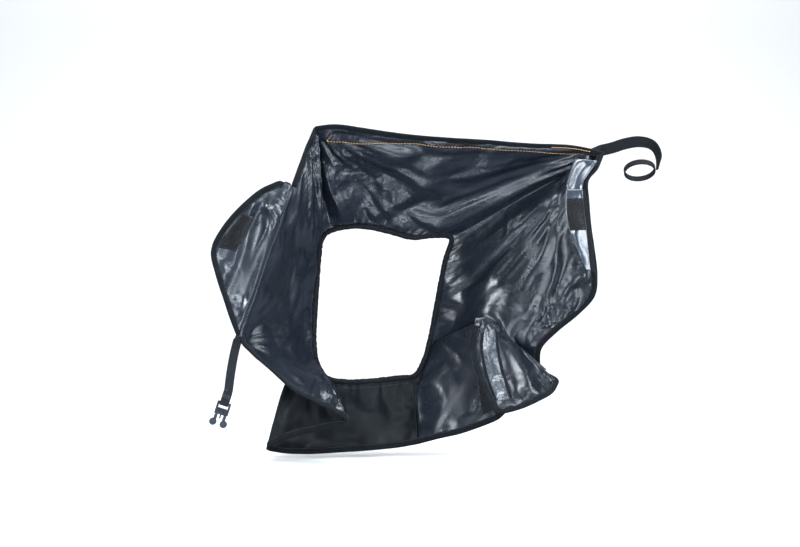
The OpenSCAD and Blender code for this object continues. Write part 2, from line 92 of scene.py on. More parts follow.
def mix(start, end, share):
    start = np.asarray(start, float)
    return start + (np.asarray(end, float) - start) * share


def line(start, end, steps):
    return np.array([mix(start, end, k / steps) for k in range(steps + 1)])


def catmull(a, b, c, d, t):
    return 0.5 * (2 * b + (c - a) * t + (2 * a - 5 * b + 4 * c - d) * t * t
                  + (3 * b - a - 3 * c + d) * t ** 3)


def spline(pick, position, last, widen):
    """Catmull-Rom through the stations pick(0..last); widen spreads weights over coordinates"""
    i = np.clip(np.floor(position).astype(int), 0, last - 1)
    here, after = pick(i), pick(i + 1)
    before = np.where((i > 0)[widen], pick(np.maximum(i - 1, 0)), 2 * here - after)
    beyond = np.where((i < last - 1)[widen], pick(np.minimum(i + 2, last)), 2 * after - here)
    return catmull(before, here, after, beyond, (position - i)[widen])


def sample(curve, shares):
    """points at shares 0..1 of an open curve's stations"""
    curve = np.asarray(curve, float)
    last = len(curve) - 1
    position = np.atleast_1d(np.asarray(shares, float)) * last
    return spline(lambda i: curve[i], position, last, (...,) + (None,) * (curve.ndim - 1))


def sample_loop(curve, shares):
    """points at shares 0..1 of a closed curve's stations"""
    count = len(curve)
    position = shares * count
    i = np.floor(position).astype(int)
    return catmull(curve[(i - 1) % count], curve[i % count], curve[(i + 1) % count],
                   curve[(i + 2) % count], (position - i)[:, None])


def panel_rows(outer, inner, *steps):
    """rows of a panel from its outer to its inner edge; each step is
    (share of the way, depth added mid-row, shift at the row's start, shift at its end)"""
    u = np.linspace(0, 1, len(outer))[:, None]

    def between(share, bulge, start=(0, 0, 0), end=(0, 0, 0)):
        return (mix(outer, inner, share) + vec(*start) * (1 - u) ** 3
                + vec(0, 0, bulge) * 4 * u * (1 - u) + vec(*end) * u ** 3)
    return [outer] + [between(*step) for step in steps] + [inner]


# panel outlines, all [x, z, depth]
rim_top = vec([-98, 378, -20], [-72, 380, -26], [-36, 375, -30], [6, 369, -32], [52, 365, -33],
              [100, 362, -31], [150, 358, -27], [197, 356, -20], [236, 348.5, -12])
# the rear hole, a closed loop from its upper left corner: along the top, down the right side,
# along the bottom and up the left side
hole = vec([-91, 245, 44], [-83, 256, 48], [-63, 262, 52], [-37, 262, 54], [-10, 256, 55],
           [14, 250, 56], [38, 252, 56], [59, 249, 55],
           [52, 223, 58], [46, 192, 60], [40, 160, 60], [34, 129, 58], [27, 107, 54], [17, 91, 50],
           [-4, 88, 48], [-34, 85, 47], [-62, 84, 47], [-85, 89, 48], [-96, 108, 49],
           [-99, 134, 50], [-98, 162, 50], [-96, 190, 49], [-94, 220, 47])
hole_top = sample(hole[0:8], np.linspace(0, 1, 9))
hole_right = sample(hole[7:12], np.linspace(0, 1, 12))
right_outer = vec([236, 348.5, -12], [228, 329, -20], [217, 315, -27], [218, 290, -31],
                  [220, 264, -35], [224, 236, -40], [227, 207, -44], [224, 182, -44],
                  [205, 161, -32], [182, 142, -16], [163, 122, -2], [161, 101, 8])
# ends of the lines the side flap, the fly and the closure tab fold along
flap_fold_top, flap_fold_low = vec(-125, 310, -40), vec(-184, 136, -56)
fly_fold_top, fly_fold_low = vec(99, 159, 8), vec(183, 83, 0)
tab_fold_top, tab_fold_low = vec(210, 305, -34), vec(219, 212, -49)
left_outer = np.vstack([
    vec([-103, 368, -24], [-114, 340, -32]), line(flap_fold_top, flap_fold_low, 4),
    vec([-172, 118, -54], [-150, 99, -52], [-126, 77, -49], [-101, 62, -46], [-80, 52, -43],
        [-66, 43, -40])])
left_inner = vec([-94, 367, -21], [-92, 337, -13], [-90, 310, -6], [-89, 277, 14], [-92, 245, 42],
                 [-95, 208, 48], [-98, 168, 50], [-99, 137, 50], [-97, 113, 47], [-88, 97, 20],
                 [-79, 83, -6], [-72, 68, -21], [-64, 52, -34])
flap_rim = vec([-139, 316, -46], [-163, 304, -56], [-186, 284, -66], [-205, 261, -74],
               [-217, 236, -78], [-213, 210, -76], [-204, 182, -70], [-195, 155, -63],
               [-188, 136, -57])
gusset_low = vec([-148, 10, 8], [-132, 18, -2], [-108, 24, -12], [-83, 30, -21], [-63, 32, -29])
gusset_top = vec([-109, 121, 47], [-108, 120.5, 47], [-107, 120, 47], [-106, 119, 47],
                 [-105, 118, 47])
bottom_low = vec([-150, 4, 16], [-126, 1, 26], [-95, 1, 33], [-63, 3, 37], [-33, 5, 38],
                 [-4, 8, 37], [21, 12, 33])
bottom_top = np.vstack([vec([-108, 122, 56]), hole[18:13:-1], vec([15, 90, 50])])
lower_low = vec([22.5, 12.5, 32], [44, 18, 22], [70, 24, 13], [96, 33, 4], [114, 41, -4],
                [123, 50, -9])
lower_top = np.vstack([
    hole[11] + vec(5, 1, 0),
    vec([50, 137, 46], [67, 144.5, 35], [83, 151, 25], [99, 154.5, 16], [112, 150, 12])])
fly_low = vec([109, 47, -36], [124, 48, -35], [144, 54, -31], [165, 64, -24], [177, 72, -13],
              fly_fold_low)
tab_free = vec([191, 305, -36], [190, 286, -39], [192, 268, -43], [198, 248, -46],
               [206, 230, -49], [214, 213, -51])
corner_outer = vec([227, 338, -21], [219, 326, -25], [212, 316, -29], [210, 309, -31],
                   [209.5, 301, -31.5])
corner_inner = vec([201, 341, -18], [197, 330, -24], [193, 318, -29], [191, 309, -33],
                   [191.5, 301, -33])
NO_SHIFT = (0, 0, 0)
PANELS = {
    "top": panel_rows(rim_top, hole_top, (1 / 3, 6, (-8, 2, 2)), (2 / 3, 6, (-6, 0, 4))),
    "right": panel_rows(right_outer, hole_right, (1 / 3, 6, NO_SHIFT, (20, 5, -12)),
                        (2 / 3, 6, NO_SHIFT, (22, 36, -25))),
    "left": panel_rows(left_outer, left_inner, (1 / 3, 3), (2 / 3, 2)),
    "flap": panel_rows(flap_rim, line(flap_fold_top, flap_fold_low, 8), (1 / 3, 3), (2 / 3, 3)),
    "gusset": panel_rows(gusset_low, gusset_top, (1 / 3, 2, (-6, -5, -8), (7, 1, -10)),
                         (2 / 3, 5, (-9, -5, -13), (3, 0, -2))),
    "bottom": panel_rows(bottom_low, bottom_top, (1 / 3, 5, (-7, -4, -12)),
                         (2 / 3, 5, (-9, -4, -16))),
    "lower": panel_rows(lower_low, lower_top, (0.25, 2, (-5.5, 0, -1)), (0.5, 3, (-11, 0, 1)),
                        (0.75, 2, (-7, 0, 1))),
    "fly": panel_rows(fly_low, line([87, 158, 8], fly_fold_top, 5), (1 / 3, -3, (-10, 0, -5)),
                      (2 / 3, -3, (-13, 0, -8))),
    "tab": panel_rows(line(tab_fold_top, tab_fold_low, 5), tab_free, (1 / 3, -1.5),
                      (2 / 3, -1.5)),
    "corner": panel_rows(corner_outer, corner_inner, (0.5, -1)),
}

# ------------------------------------------------------------------ noise
NOISE_SIZE = 512
rng = np.random.RandomState(7)
noise_order = rng.permutation(NOISE_SIZE)
noise_value = rng.rand(NOISE_SIZE) * 2 - 1


def noise(points):
    """smooth value noise of points (..., 3)"""
    cell = np.floor(points).astype(int)
    t = points - cell
    t = t * t * t * (t * (t * 6 - 15) + 10)
    mask = NOISE_SIZE - 1
    total = 0
    for i in (0, 1):
        for j in (0, 1):
            for k in (0, 1):
                key = noise_order[(cell[..., 0] + i) & mask]
                key = noise_order[(key + cell[..., 1] + j) & mask]
                key = noise_order[(key + cell[..., 2] + k) & mask]
                weight = ((t[..., 0] if i else 1 - t[..., 0]) * (t[..., 1] if j else 1 - t[..., 1])
                          * (t[..., 2] if k else 1 - t[..., 2]))
                total = total + noise_value[key] * weight
    return total


def noise_xyz(x, y, z):
    return noise(np.stack(np.broadcast_arrays(x, y, z), -1))


def ridged(points):
    return 1 - 2 * np.abs(noise(points))


# ------------------------------------------------------------------ folds
# by panel: points [x, z], half width and height in mm (towards the front), the shares over which
# it rises and dies out, how much sharper one side is, and growth in width along it
FOLDS = {
    "top": [
        ([(222, 347), (120, 300), (23, 265)], 7, 5.0, (0.10, 0.35), 0.25, 2.2),
        ([(224, 345), (140, 293), (58, 247)], 6, 4.5, (0.08, 0.15), -0.2, 2.0),
        ([(220, 350), (100, 325), (30, 312)], 8, 2.6, (0.10, 0.5), 0.2, 2.0),
        ([(226, 343), (150, 282), (63, 214)], 6, 5.0, (0.08, 0.2), 0.25, 2.2),
        ([(-92, 336), (-78, 304), (-58, 262)], 8, 12.0, (0.2, 0.35), 0.3, 1.4),
        ([(-94, 345), (-78, 322), (-62, 334)], 4, 1.6, (0.2, 0.5), 0.0, 1.0),
        ([(-78, 321), (-45, 317), (-32, 308)], 4, 2.0, (0.2, 0.4), -0.4, 1.0),
        ([(-78, 320), (-90, 300), (-93, 268)], 4, 1.8, (0.3, 0.4), 0.3, 1.0),
        ([(-44, 270), (-8, 288), (24, 306), (60, 318)], 8, 9.0, (0.25, 0.4), 0.3, 1.2),
        ([(-30, 300), (-8, 308), (10, 305)], 4, 1.6, (0.3, 0.4), 0.3, 1.0),
        ([(-92, 241), (-78, 248), (-58, 257)], 3.5, 1.6, (0.2, 0.4), 0.4, 1.0),
        ([(30, 262), (58, 259), (84, 266)], 5, 2.0, (0.3, 0.4), 0.3, 1.0),
        ([(-96, 366), (-50, 338), (20, 326), (110, 330)], 9, 1.8, (0.15, 0.5), 0.1, 1.6),
    ],
    "right": [
        ([(226, 343), (150, 282), (63, 214)], 6, 5.0, (0.08, 0.2), 0.25, 2.2),
        ([(226, 340), (150, 265), (80, 192)], 6, 4.6, (0.08, 0.25), -0.2, 2.0),
        ([(224, 338), (165, 250), (112, 176)], 7, 4.4, (0.10, 0.3), 0.25, 2.0),
        ([(222, 336), (182, 262), (152, 190)], 7, 3.8, (0.10, 0.35), -0.2, 1.8),
        ([(190, 330), (184, 280), (181, 253), (175, 224), (170, 206), (164, 189), (159, 171),
          (156, 158), (144, 127)], 5, -4.2, (0.15, 0.1), 0.35, 1.2),
        ([(195, 262), (192, 230), (187, 200), (176, 170)], 7, 3.4, (0.25, 0.2), 0.3, 1.2),
        ([(127, 282), (125, 262), (121, 240)], 4, 1.8, (0.3, 0.4), 0.3, 1.0),
        ([(214, 206), (204, 190), (184, 170), (176, 150)], 6, 3.0, (0.25, 0.25), 0.3, 1.2),
        ([(198, 200), (196, 180), (188, 162)], 4, 2.6, (0.3, 0.3), -0.3, 1.0),
        ([(160, 160), (152, 138), (150, 118)], 5, 3.2, (0.25, 0.2), 0.2, 1.0),
        ([(70, 205), (86, 186), (112, 170), (140, 152)], 8, 1.2, (0.2, 0.3), 0.2, 1.2),
        ([(62, 150), (84, 164), (110, 172)], 6, 0.9, (0.2, 0.4), 0.2, 1.0),
    ],
    "left": [
        ([(-104, 352), (-112, 300), (-118, 250), (-126, 200)], 7, 4.6, (0.12, 0.5), 0.2, 1.6),
        ([(-98, 350), (-98, 300), (-97, 255), (-104, 205)], 4.5, -3.4, (0.12, 0.4), 0.2, 1.3),
        ([(-96, 226), (-118, 192), (-150, 150)], 8, 3.0, (0.2, 0.4), 0.3, 1.2),
        ([(-112, 178), (-100, 130), (-94, 86)], 7, 2.2, (0.25, 0.4), 0.3, 1.2),
        ([(-122, 300), (-134, 250), (-150, 200), (-164, 165)], 6, -3.0, (0.15, 0.3), 0.3, 1.2),
        ([(-118, 180), (-122, 140), (-116, 110)], 12, 0.6, (0.3, 0.4), 0.1, 1.2),
        ([(-172, 132), (-140, 128), (-112, 140)], 8, 2.0, (0.25, 0.4), 0.2, 1.2),
        ([(-92, 88), (-100, 70), (-96, 60)], 5, 2.2, (0.2, 0.3), 0.3, 1.0),
        ([(-76, 70), (-82, 58), (-74, 52)], 4, 2.0, (0.2, 0.3), 0.3, 1.0),
        ([(-84, 94), (-86, 78), (-84, 62)], 5, 2.6, (0.25, 0.3), 0.3, 1.0),
        ([(-140, 100), (-120, 92), (-104, 80)], 6, 2.0, (0.25, 0.4), 0.2, 1.0),
    ],
    "flap": [
        ([(-154, 290), (-151, 275), (-154, 255), (-168, 224), (-184, 180)],
         5.0, 5.4, (0.1, 0.7), 0.3, 1.6),
        ([(-158, 288), (-165, 272), (-178, 245), (-192, 206)], 6.5, -5.0, (0.1, 0.7), 0.2, 1.4),
        ([(-153, 289), (-141, 262), (-144, 232), (-160, 196)], 4.0, 4.0, (0.1, 0.7), 0.3, 1.4),
        ([(-172, 262), (-188, 224), (-198, 180)], 5.0, 3.6, (0.4, 0.5), 0.3, 1.1),
        ([(-136, 282), (-140, 248), (-156, 214), (-170, 178), (-184, 142)],
         4.2, 4.6, (0.15, 0.15), -0.3, 1.0),
        ([(-197, 224), (-204, 218), (-200, 203)], 3.2, 2.2, (0.2, 0.3), 0.3, 1.0),
        ([(-193, 178), (-184, 172), (-187, 160)], 3.6, 2.6, (0.2, 0.3), 0.3, 1.0),
        ([(-128, 306), (-132, 290), (-134, 276)], 4.0, -2.0, (0.2, 0.3), 0.3, 1.0),
    ],
    "gusset": [
        ([(-146, 16), (-120, 26), (-90, 38)], 4, 1.8, (0.15, 0.4), 0.3, 1.0),
        ([(-142, 24), (-138, 32), (-140, 52)], 4, 1.6, (0.2, 0.4), 0.3, 1.0),
        ([(-112, 90), (-110, 60), (-92, 40)], 8, 1.8, (0.2, 0.4), 0.2, 1.2),
    ],
    "bottom": [
        ([(-132, 10), (-100, 18), (-60, 16)], 5, 2.0, (0.2, 0.4), 0.3, 1.0),
        ([(-90, 30), (-60, 26), (-30, 30)], 6, 1.6, (0.3, 0.4), 0.3, 1.0),
        ([(-60, 74), (-30, 60), (0, 62)], 8, 2.0, (0.3, 0.4), 0.2, 1.0),
        ([(-20, 78), (-10, 50), (-14, 20)], 9, 2.2, (0.2, 0.3), 0.2, 1.0),
    ],
    "lower": [
        ([(36, 20), (52, 58), (78, 100)], 4.5, 2.2, (0.15, 0.5), 0.3, 1.6),
        ([(60, 30), (74, 58), (94, 92)], 6, -3.0, (0.15, 0.5), 0.2, 1.4),
        ([(24, 74), (44, 92), (66, 120)], 5, 1.8, (0.2, 0.5), -0.3, 1.2),
        ([(92, 64), (84, 46), (66, 38)], 5, 2.8, (0.2, 0.3), 0.3, 1.0),
        ([(98, 52), (92, 42), (78, 34)], 3, 2.0, (0.2, 0.4), 0.3, 1.0),
        ([(24, 86), (24, 60), (28, 30)], 6, -2.6, (0.2, 0.3), 0.2, 1.0),
    ],
    "fly": [
        ([(122, 140), (136, 112), (144, 90), (147, 66)], 6, 2.4, (0.25, 0.2), 0.2, 1.2),
        ([(104, 140), (118, 104), (128, 74), (132, 58)], 6, -2.6, (0.25, 0.2), 0.2, 1.2),
        ([(150, 100), (160, 84), (166, 72)], 7, -2.0, (0.25, 0.3), 0.2, 1.2),
        ([(112, 92), (122, 76), (127, 60)], 4, 2.2, (0.25, 0.3), -0.3, 1.0),
    ],
    "tab": [
        ([(204, 300), (200, 276), (208, 250)], 6, 1.5, (0.2, 0.4), 0.2, 1.0),
        ([(199, 262), (204, 240), (212, 226)], 4, 1.2, (0.2, 0.4), 0.3, 1.0),
    ],
    "corner": [
        ([(226, 341), (207, 326), (198, 304)], 7, -2.4, (0.1, 0.1), 0.3, 1.0),
        ([(204, 342), (198, 326), (194, 306)], 6, 1.4, (0.1, 0.1), 0.3, 1.0),
    ],
}
# factors on the width and height of a panel's folds
FOLD_SCALE = {"top": (1.5, 0.6), "right": (1.5, 0.62), "left": (1.3, 0.8), "flap": (1.35, 0.6),
              "lower": (1.4, 0.36), "fly": (1.3, 0.8), "bottom": (1.4, 0.7), "gusset": (1.5, 0.7)}
# pinches the cloth hangs from: centre, folds per radian, height, rise and reach in mm
PINCHES = {
    "main": [((242, 353), 9, 5.6, 60, 220), ((-100, 374), 7, 4.0, 30, 120)],
    "left": [((-110, 374), 15, 3.0, 40, 200), ((-188, 132), 7, 1.5, 20, 90)],
    "flap": [((-150, 304), 5, 0.5, 14, 90)],
    "gusset": [((-107, 128), 9, 1.2, 30, 90)],
    "bottom": [((-150, 8), 6, 1.2, 30, 90)],
    "lower": [((30, 150), 6, 0.5, 25, 110)],
    "fly": [((96, 168), 7, 1.8, 25, 110)],
    "tab": [((212, 312), 5, 0.5, 12, 80)],
}
# long shallow folds running one way: direction in x and z, width, length and height in mm
STREAKS = {"main": ((-0.94, -0.34), 13.0, 190.0, 1.5), "flap": ((-0.36, -0.93), 9.0, 160.0, 3.0),
           "lower": ((-0.45, -0.9), 12.0, 160.0, 0.5)}
# short sharp creases: their weight everywhere, then spots of x, z, radius and weight
CRUSH = {
    "main": (0.07, [(-62, 328, 26, 0.8), (-20, 300, 30, 0.5), (178, 158, 26, 1.0),
                    (208, 215, 22, 0.6), (-80, 255, 18, 0.4)]),
    "left": (0.08, [(-92, 70, 26, 0.9), (-110, 335, 26, 0.3), (-175, 150, 18, 0.4)]),
    "flap": (0.0, [(-192, 162, 12, 0.5)]),
    "gusset": (0.12, [(-140, 30, 20, 0.6)]),
    "bottom": (0.12, [(-120, 14, 26, 0.6)]),
    "lower": (0.02, [(88, 46, 12, 0.35)]),
    "fly": (0.1, [(154, 82, 20, 0.8), (118, 80, 14, 0.6)]),
    "tab": (0.12, [(212, 230, 14, 0.6)]),
    "corner": (0.12, []),
}


def smooth(t):
    t = np.clip(t, 0, 1)
    return t * t * (3 - 2 * t)


def arc_length(curve):
    steps = np.linalg.norm(np.diff(curve, axis=0), axis=1)
    return np.concatenate([[0], np.cumsum(steps)])


def interp(positions, knots, values):
    return np.stack([np.interp(positions, knots, column) for column in values.T], -1)


def unit(vectors):
    return vectors / (np.linalg.norm(vectors, axis=-1, keepdims=True) + 1e-12)


def polyline_distance(x, z, points):
    """distance to a polyline, signed by side, and the share of the way along it"""
    lengths_to = arc_length(points)
    best = np.full(x.shape, 1e9)
    sign = np.zeros(x.shape)
    share = np.zeros(x.shape)
    for k in range(len(points) - 1):
        start = points[k]
        step = points[k + 1] - start
        square = float(step @ step)
        t = np.clip(((x - start[0]) * step[0] + (z - start[1]) * step[1]) / square, 0, 1)
        away = np.hypot(x - (start[0] + t * step[0]), z - (start[1] + t * step[1]))
        nearer = away < best
        best = np.where(nearer, away, best)
        side = np.sign((x - start[0]) * step[1] - (z - start[1]) * step[0])
        sign = np.where(nearer, side, sign)
        along = (lengths_to[k] + t * np.sqrt(square)) / lengths_to[-1]
        share = np.where(nearer, along, share)
    return best * sign, share


def fold(x, z, points, width, height, taper, skew, growth):
    """a rounded crest along points with a shallow trough on either side"""
    distance, share = polyline_distance(x, z, points)
    q = distance / (width * (1 + (growth - 1) * share))
    q = q * (1 + skew * np.sign(q))
    profile = np.exp(-q * q * 1.6) - 0.28 * np.exp(-(np.abs(q) - 1.5) ** 2 * 2.2)
    return height * profile * (smooth(share / taper[0]) * smooth((1 - share) / taper[1]))


def panel_folds(panel, x, z):
    total = np.zeros(x.shape)
    wider, higher = FOLD_SCALE.get(panel, (1.0, 1.0))
    for points, width, height, taper, skew, growth in FOLDS[panel]:
        curve = sample(points, np.linspace(0, 1, 14))
        total += fold(x, z, curve, width * wider, height * higher, taper, skew, growth)
    return total


def radial_folds(x, z, centre, per_radian, height, rise, reach, seed):
    """taut folds running out from a pinch: straight, and wider with distance"""
    dx, dz = x - centre[0], z - centre[1]
    radius, angle = np.hypot(dx, dz), np.arctan2(dz, dx)
    angle = np.where(angle < 0, angle + 2 * math.pi, angle)
    broad = noise_xyz(angle * per_radian, radius / 95, seed)
    narrow = noise_xyz(angle * per_radian * 2.3 + 7, radius / 60, seed + 3.3)
    shape = 0.95 * broad + 0.3 * (0.55 - np.abs(broad)) + 0.22 * narrow
    return height * shape * (smooth((radius - 8) / rise)
                             * (1 - smooth((radius - reach) / (0.6 * reach))))


# ------------------------------------------------------------------ cloth grids
FINE = 3                              # fine cells per coarse cell
MAIN_CRINKLE = 1.25                   # crinkle height factor of the main sheet


def panel_grid(panel, columns, rows, inset_outer=1.2, inset_inner=1.2):
    """layout grid of a panel, held back from its outer and inner edges by insets in mm"""
    u, v = np.linspace(0, 1, columns + 1), np.linspace(0, 1, rows + 1)
    stations = np.stack([sample(row, u) for row in PANELS[panel]])
    width = np.linalg.norm(place(stations[-1]) - place(stations[0]), axis=1) + 1e-6
    share = ((inset_outer / width)[None, :]
             + (1 - (inset_outer + inset_inner) / width)[None, :] * v[:, None])
    last = len(stations) - 1
    column = np.arange(len(u))[None, :] + np.zeros(share.shape, int)
    return spline(lambda i: stations[i, column], share * last, last, (..., None))


def refine(grid):
    rows, columns = grid.shape[0] - 1, grid.shape[1] - 1
    grid = sample(grid, np.linspace(0, 1, rows * FINE + 1))
    return np.swapaxes(sample(np.swapaxes(grid, 0, 1), np.linspace(0, 1, columns * FINE + 1)), 0, 1)


def grid_cross(grid):
    return np.cross(np.gradient(grid, axis=1), np.gradient(grid, axis=0))


def faces_rear(grid):
    return grid_cross(grid)[..., 1].mean() > 0


def front_normals(grid):
    normals = unit(grid_cross(grid))
    return normals if normals[..., 1].mean() < 0 else -normals


def grid_lengths(grid):
    """length along the rows and down the columns up to each point"""
    def run(axis, start):
        steps = np.linalg.norm(np.diff(grid, axis=axis), axis=2)
        return np.concatenate([start, np.cumsum(steps, axis=axis)], axis=axis)
    return run(1, np.zeros((grid.shape[0], 1))), run(0, np.zeros((1, grid.shape[1])))


def edge_fade(grid, v0, v1, u0, u1):
    """0 at the edges, rising to 1 over the given lengths; a zero length leaves an edge alone"""
    along_u, along_v = grid_lengths(grid)
    weight = np.ones(grid.shape[:2])
    if v0:
        weight *= smooth(along_v / v0)
    if v1:
        weight *= smooth((along_v[-1:] - along_v) / v1)
    if u0:
        weight *= smooth(along_u / u0)
    if u1:
        weight *= smooth((along_u[:, -1:] - along_u) / u1)
    return weight


class Sheet:
    """One grid of cloth: layout grid, coarse grid in mm and fine surface.
    fades: edge lengths in mm (v0, v1, u0, u1) over which folds rise; gather: height and reach of
    the puckers at the v = 1 edge; crumple: height factor of the random relief."""

    def __init__(self, name, layout, seed, fades, crumple, gather=None, folds=None):
        self.name, self.layout, self.seed = name, layout, seed
        self.fades, self.crumple, self.gather = fades, crumple, gather
        self.coarse = place(layout)
        self.shape(folds or [name])

    def shape(self, folds):
        """ridges, gathers at the hem and a soft crumple"""
        points, x, z = self.coarse, self.layout[..., 0], self.layout[..., 1]
        offset = self.seed * 13.7
        height = np.zeros(x.shape)
        for panel in folds:
            height += panel_folds(panel, x, z)
        for i, pinch in enumerate(PINCHES.get(self.name, [])):
            height += radial_folds(x, z, *pinch, self.seed * 1.7 + i * 5.1)
        broad = ridged(points / 34 + offset) - 0.45
        medium = ridged(points / 15 + offset + 5) - 0.45
        low = noise(points / 52 + offset + 9)
        self.crush = self.crush_weight(x, z)
        height += self.crumple * (0.45 * broad + 0.9 * medium * self.crush + low)
        if self.name in STREAKS:
            (dx, dz), width, length, rise = STREAKS[self.name]
            along, across = x * dx + z * dz, x * -dz + z * dx
            streak = rise * noise_xyz(across / width, along / length, offset)
            # the main sheet's streaks fade out down its side
            height += streak * (smooth((z - 250) / 45) if self.name == "main" else 1.0)
        height *= edge_fade(points, *self.fades)
        if self.gather:
            rise, reach = self.gather
            along_u, along_v = grid_lengths(points)
            s = along_u[-1]
            pucker = (noise_xyz(s / 4.6 + offset, 3.1, 7.7)
                      + 0.5 * noise_xyz(s / 9.5 + offset, 1.1, 2.7))
            to_hem = along_v[-1:] - along_v
            envelope = np.exp(-(to_hem / reach) ** 1.3) * smooth(to_hem / 3.0)
            height += rise * pucker[None, :] * envelope
        self.coarse = points + front_normals(points) * height[..., None]

    def crush_weight(self, x, z):
        base, spots = CRUSH[self.name]
        weight = base + 0 * x
        for at_x, at_z, radius, peak in spots:
            spot = peak * np.exp(-((x - at_x) ** 2 + (z - at_z) ** 2) / (radius * radius))
            weight = np.maximum(weight, spot)
        return weight

    def make_fine(self):
        """the fine surface with its crinkles"""
        points = refine(self.coarse)
        weight = edge_fade(points, *[length * 0.35 for length in self.fades])
        offset = self.seed * 7.3
        crease = ridged(points / 9.5 + offset + 21) - 0.45
        small = ridged(points / 5.2 + offset + 37) - 0.45
        grain = noise(points / 3.0 + offset + 51)
        crush = refine(self.crush[..., None])[..., 0]
        factor = MAIN_CRINKLE if self.name == "main" else self.crumple
        height = (factor * (crush * (0.75 * crease + 0.34 * small) + 0.05 * grain)) * weight
        self.surface = points + front_normals(points) * height[..., None]
        self.normals = front_normals(self.surface)

    def point(self, u, v, lift=0.0):
        """points on the finished surface, moved off it by lift mm to the front"""
        u, v = np.broadcast_arrays(np.asarray(u, float), np.asarray(v, float))
        rows, columns = self.surface.shape[0] - 1, self.surface.shape[1] - 1
        row, column = np.clip(v, 0, 1) * rows, np.clip(u, 0, 1) * columns
        i = np.clip(np.floor(row).astype(int), 0, rows - 1)
        j = np.clip(np.floor(column).astype(int), 0, columns - 1)
        s, t = (row - i)[..., None], (column - j)[..., None]

        def blend(grid):
            return ((grid[i, j] * (1 - s) + grid[i + 1, j] * s) * (1 - t)
                    + (grid[i, j + 1] * (1 - s) + grid[i + 1, j + 1] * s) * t)
        return blend(self.surface) + unit(blend(self.normals)) * np.asarray(lift, float)[..., None]

    def normal(self, u, v):
        return self.point(u, v, 1.0) - self.point(u, v, 0.0)


# the main sheet is the top and the right panel side by side
TOP_COLUMNS, RIGHT_COLUMNS, MAIN_ROWS = 92, 64, 46
TOP_SHARE = TOP_COLUMNS / (TOP_COLUMNS + RIGHT_COLUMNS)
main_layout = np.concatenate([panel_grid("top", TOP_COLUMNS, MAIN_ROWS)[:, :-1],
                              panel_grid("right", RIGHT_COLUMNS, MAIN_ROWS)], axis=1)
main = Sheet("main", main_layout, seed=1, fades=(22.0, 7.0, 0, 0), crumple=0.6,
             gather=(1.1, 12.0), folds=["top", "right"])
left = Sheet("left", panel_grid("left", 100, 20), seed=2, fades=(5.0, 5.0, 4.0, 4.0),
             crumple=0.3, gather=(0.9, 10.0))
flap = Sheet("flap", panel_grid("flap", 56, 14, inset_inner=0.0), seed=3,
             fades=(6.0, 5.0, 7.0, 7.0), crumple=0.05)
gusset = Sheet("gusset", panel_grid("gusset", 18, 34), seed=4, fades=(5.0, 5.0, 5.0, 5.0),
               crumple=0.6)
bottom = Sheet("bottom", panel_grid("bottom", 46, 30), seed=5, fades=(5.0, 6.0, 5.0, 5.0),
               crumple=0.9, gather=(1.2, 12.0))
lower = Sheet("lower", panel_grid("lower", 34, 38), seed=6, fades=(5.0, 5.0, 5.0, 5.0),
              crumple=0.4)
fly = Sheet("fly", panel_grid("fly", 22, 34, inset_inner=0.3), seed=7,
            fades=(4.0, 4.0, 4.0, 2.5), crumple=0.9)
tab = Sheet("tab", panel_grid("tab", 30, 7, inset_outer=0.0, inset_inner=0.3), seed=8,
            fades=(2.0, 1.0, 1.0, 1.0), crumple=0.35)
corner = Sheet("corner", panel_grid("corner", 12, 8, inset_outer=0.0, inset_inner=0.0), seed=9,
               fades=(1.0, 1.0, 1.0, 1.0), crumple=0.3)


# ------------------------------------------------------------------ cloth simulation
SIM_SCALE = 10.0                      # the cloth is simulated this many times larger
SIM_FRAMES = 22
PIN_EDGE, PIN_NEXT = 1.0, 0.55        # pin weights of the edge points and the ring inside them
# most that the settling may move each sheet, mm
SETTLE_CAP = {"main": 1.2, "left": 1.0, "flap": 0.2, "lower": 0.45, "fly": 1.8}
SETTLE_CAP_OTHER = 3.5


def set_cloth(modifier):
    """the fabric is a little too large for its outline, so it buckles"""
    cloth = modifier.settings
    cloth.quality = 6
    cloth.mass = 0.15
    cloth.tension_stiffness = cloth.compression_stiffness = 18
    cloth.shear_stiffness = 8
    cloth.bending_stiffness = 2.5
    cloth.tension_damping = cloth.compression_damping = cloth.shear_damping = 5
    cloth.bending_damping = 0.5
    cloth.air_damping = 4
    cloth.vertex_group_mass = "pin"
    cloth.pin_stiffness = 1.0
    cloth.shrink_min = -0.014
    cloth.effector_weights.gravity = 0.0
    modifier.collision_settings.use_collision = False
    modifier.collision_settings.use_self_collision = False
    modifier.point_cache.frame_start, modifier.point_cache.frame_end = 1, SIM_FRAMES


def grid_faces(rows, columns):
    index = np.arange(rows * columns).reshape(rows, columns)
    corners = [index[:-1, :-1], index[:-1, 1:], index[1:, 1:], index[1:, :-1]]
    return np.stack(corners, -1).reshape(-1, 4)


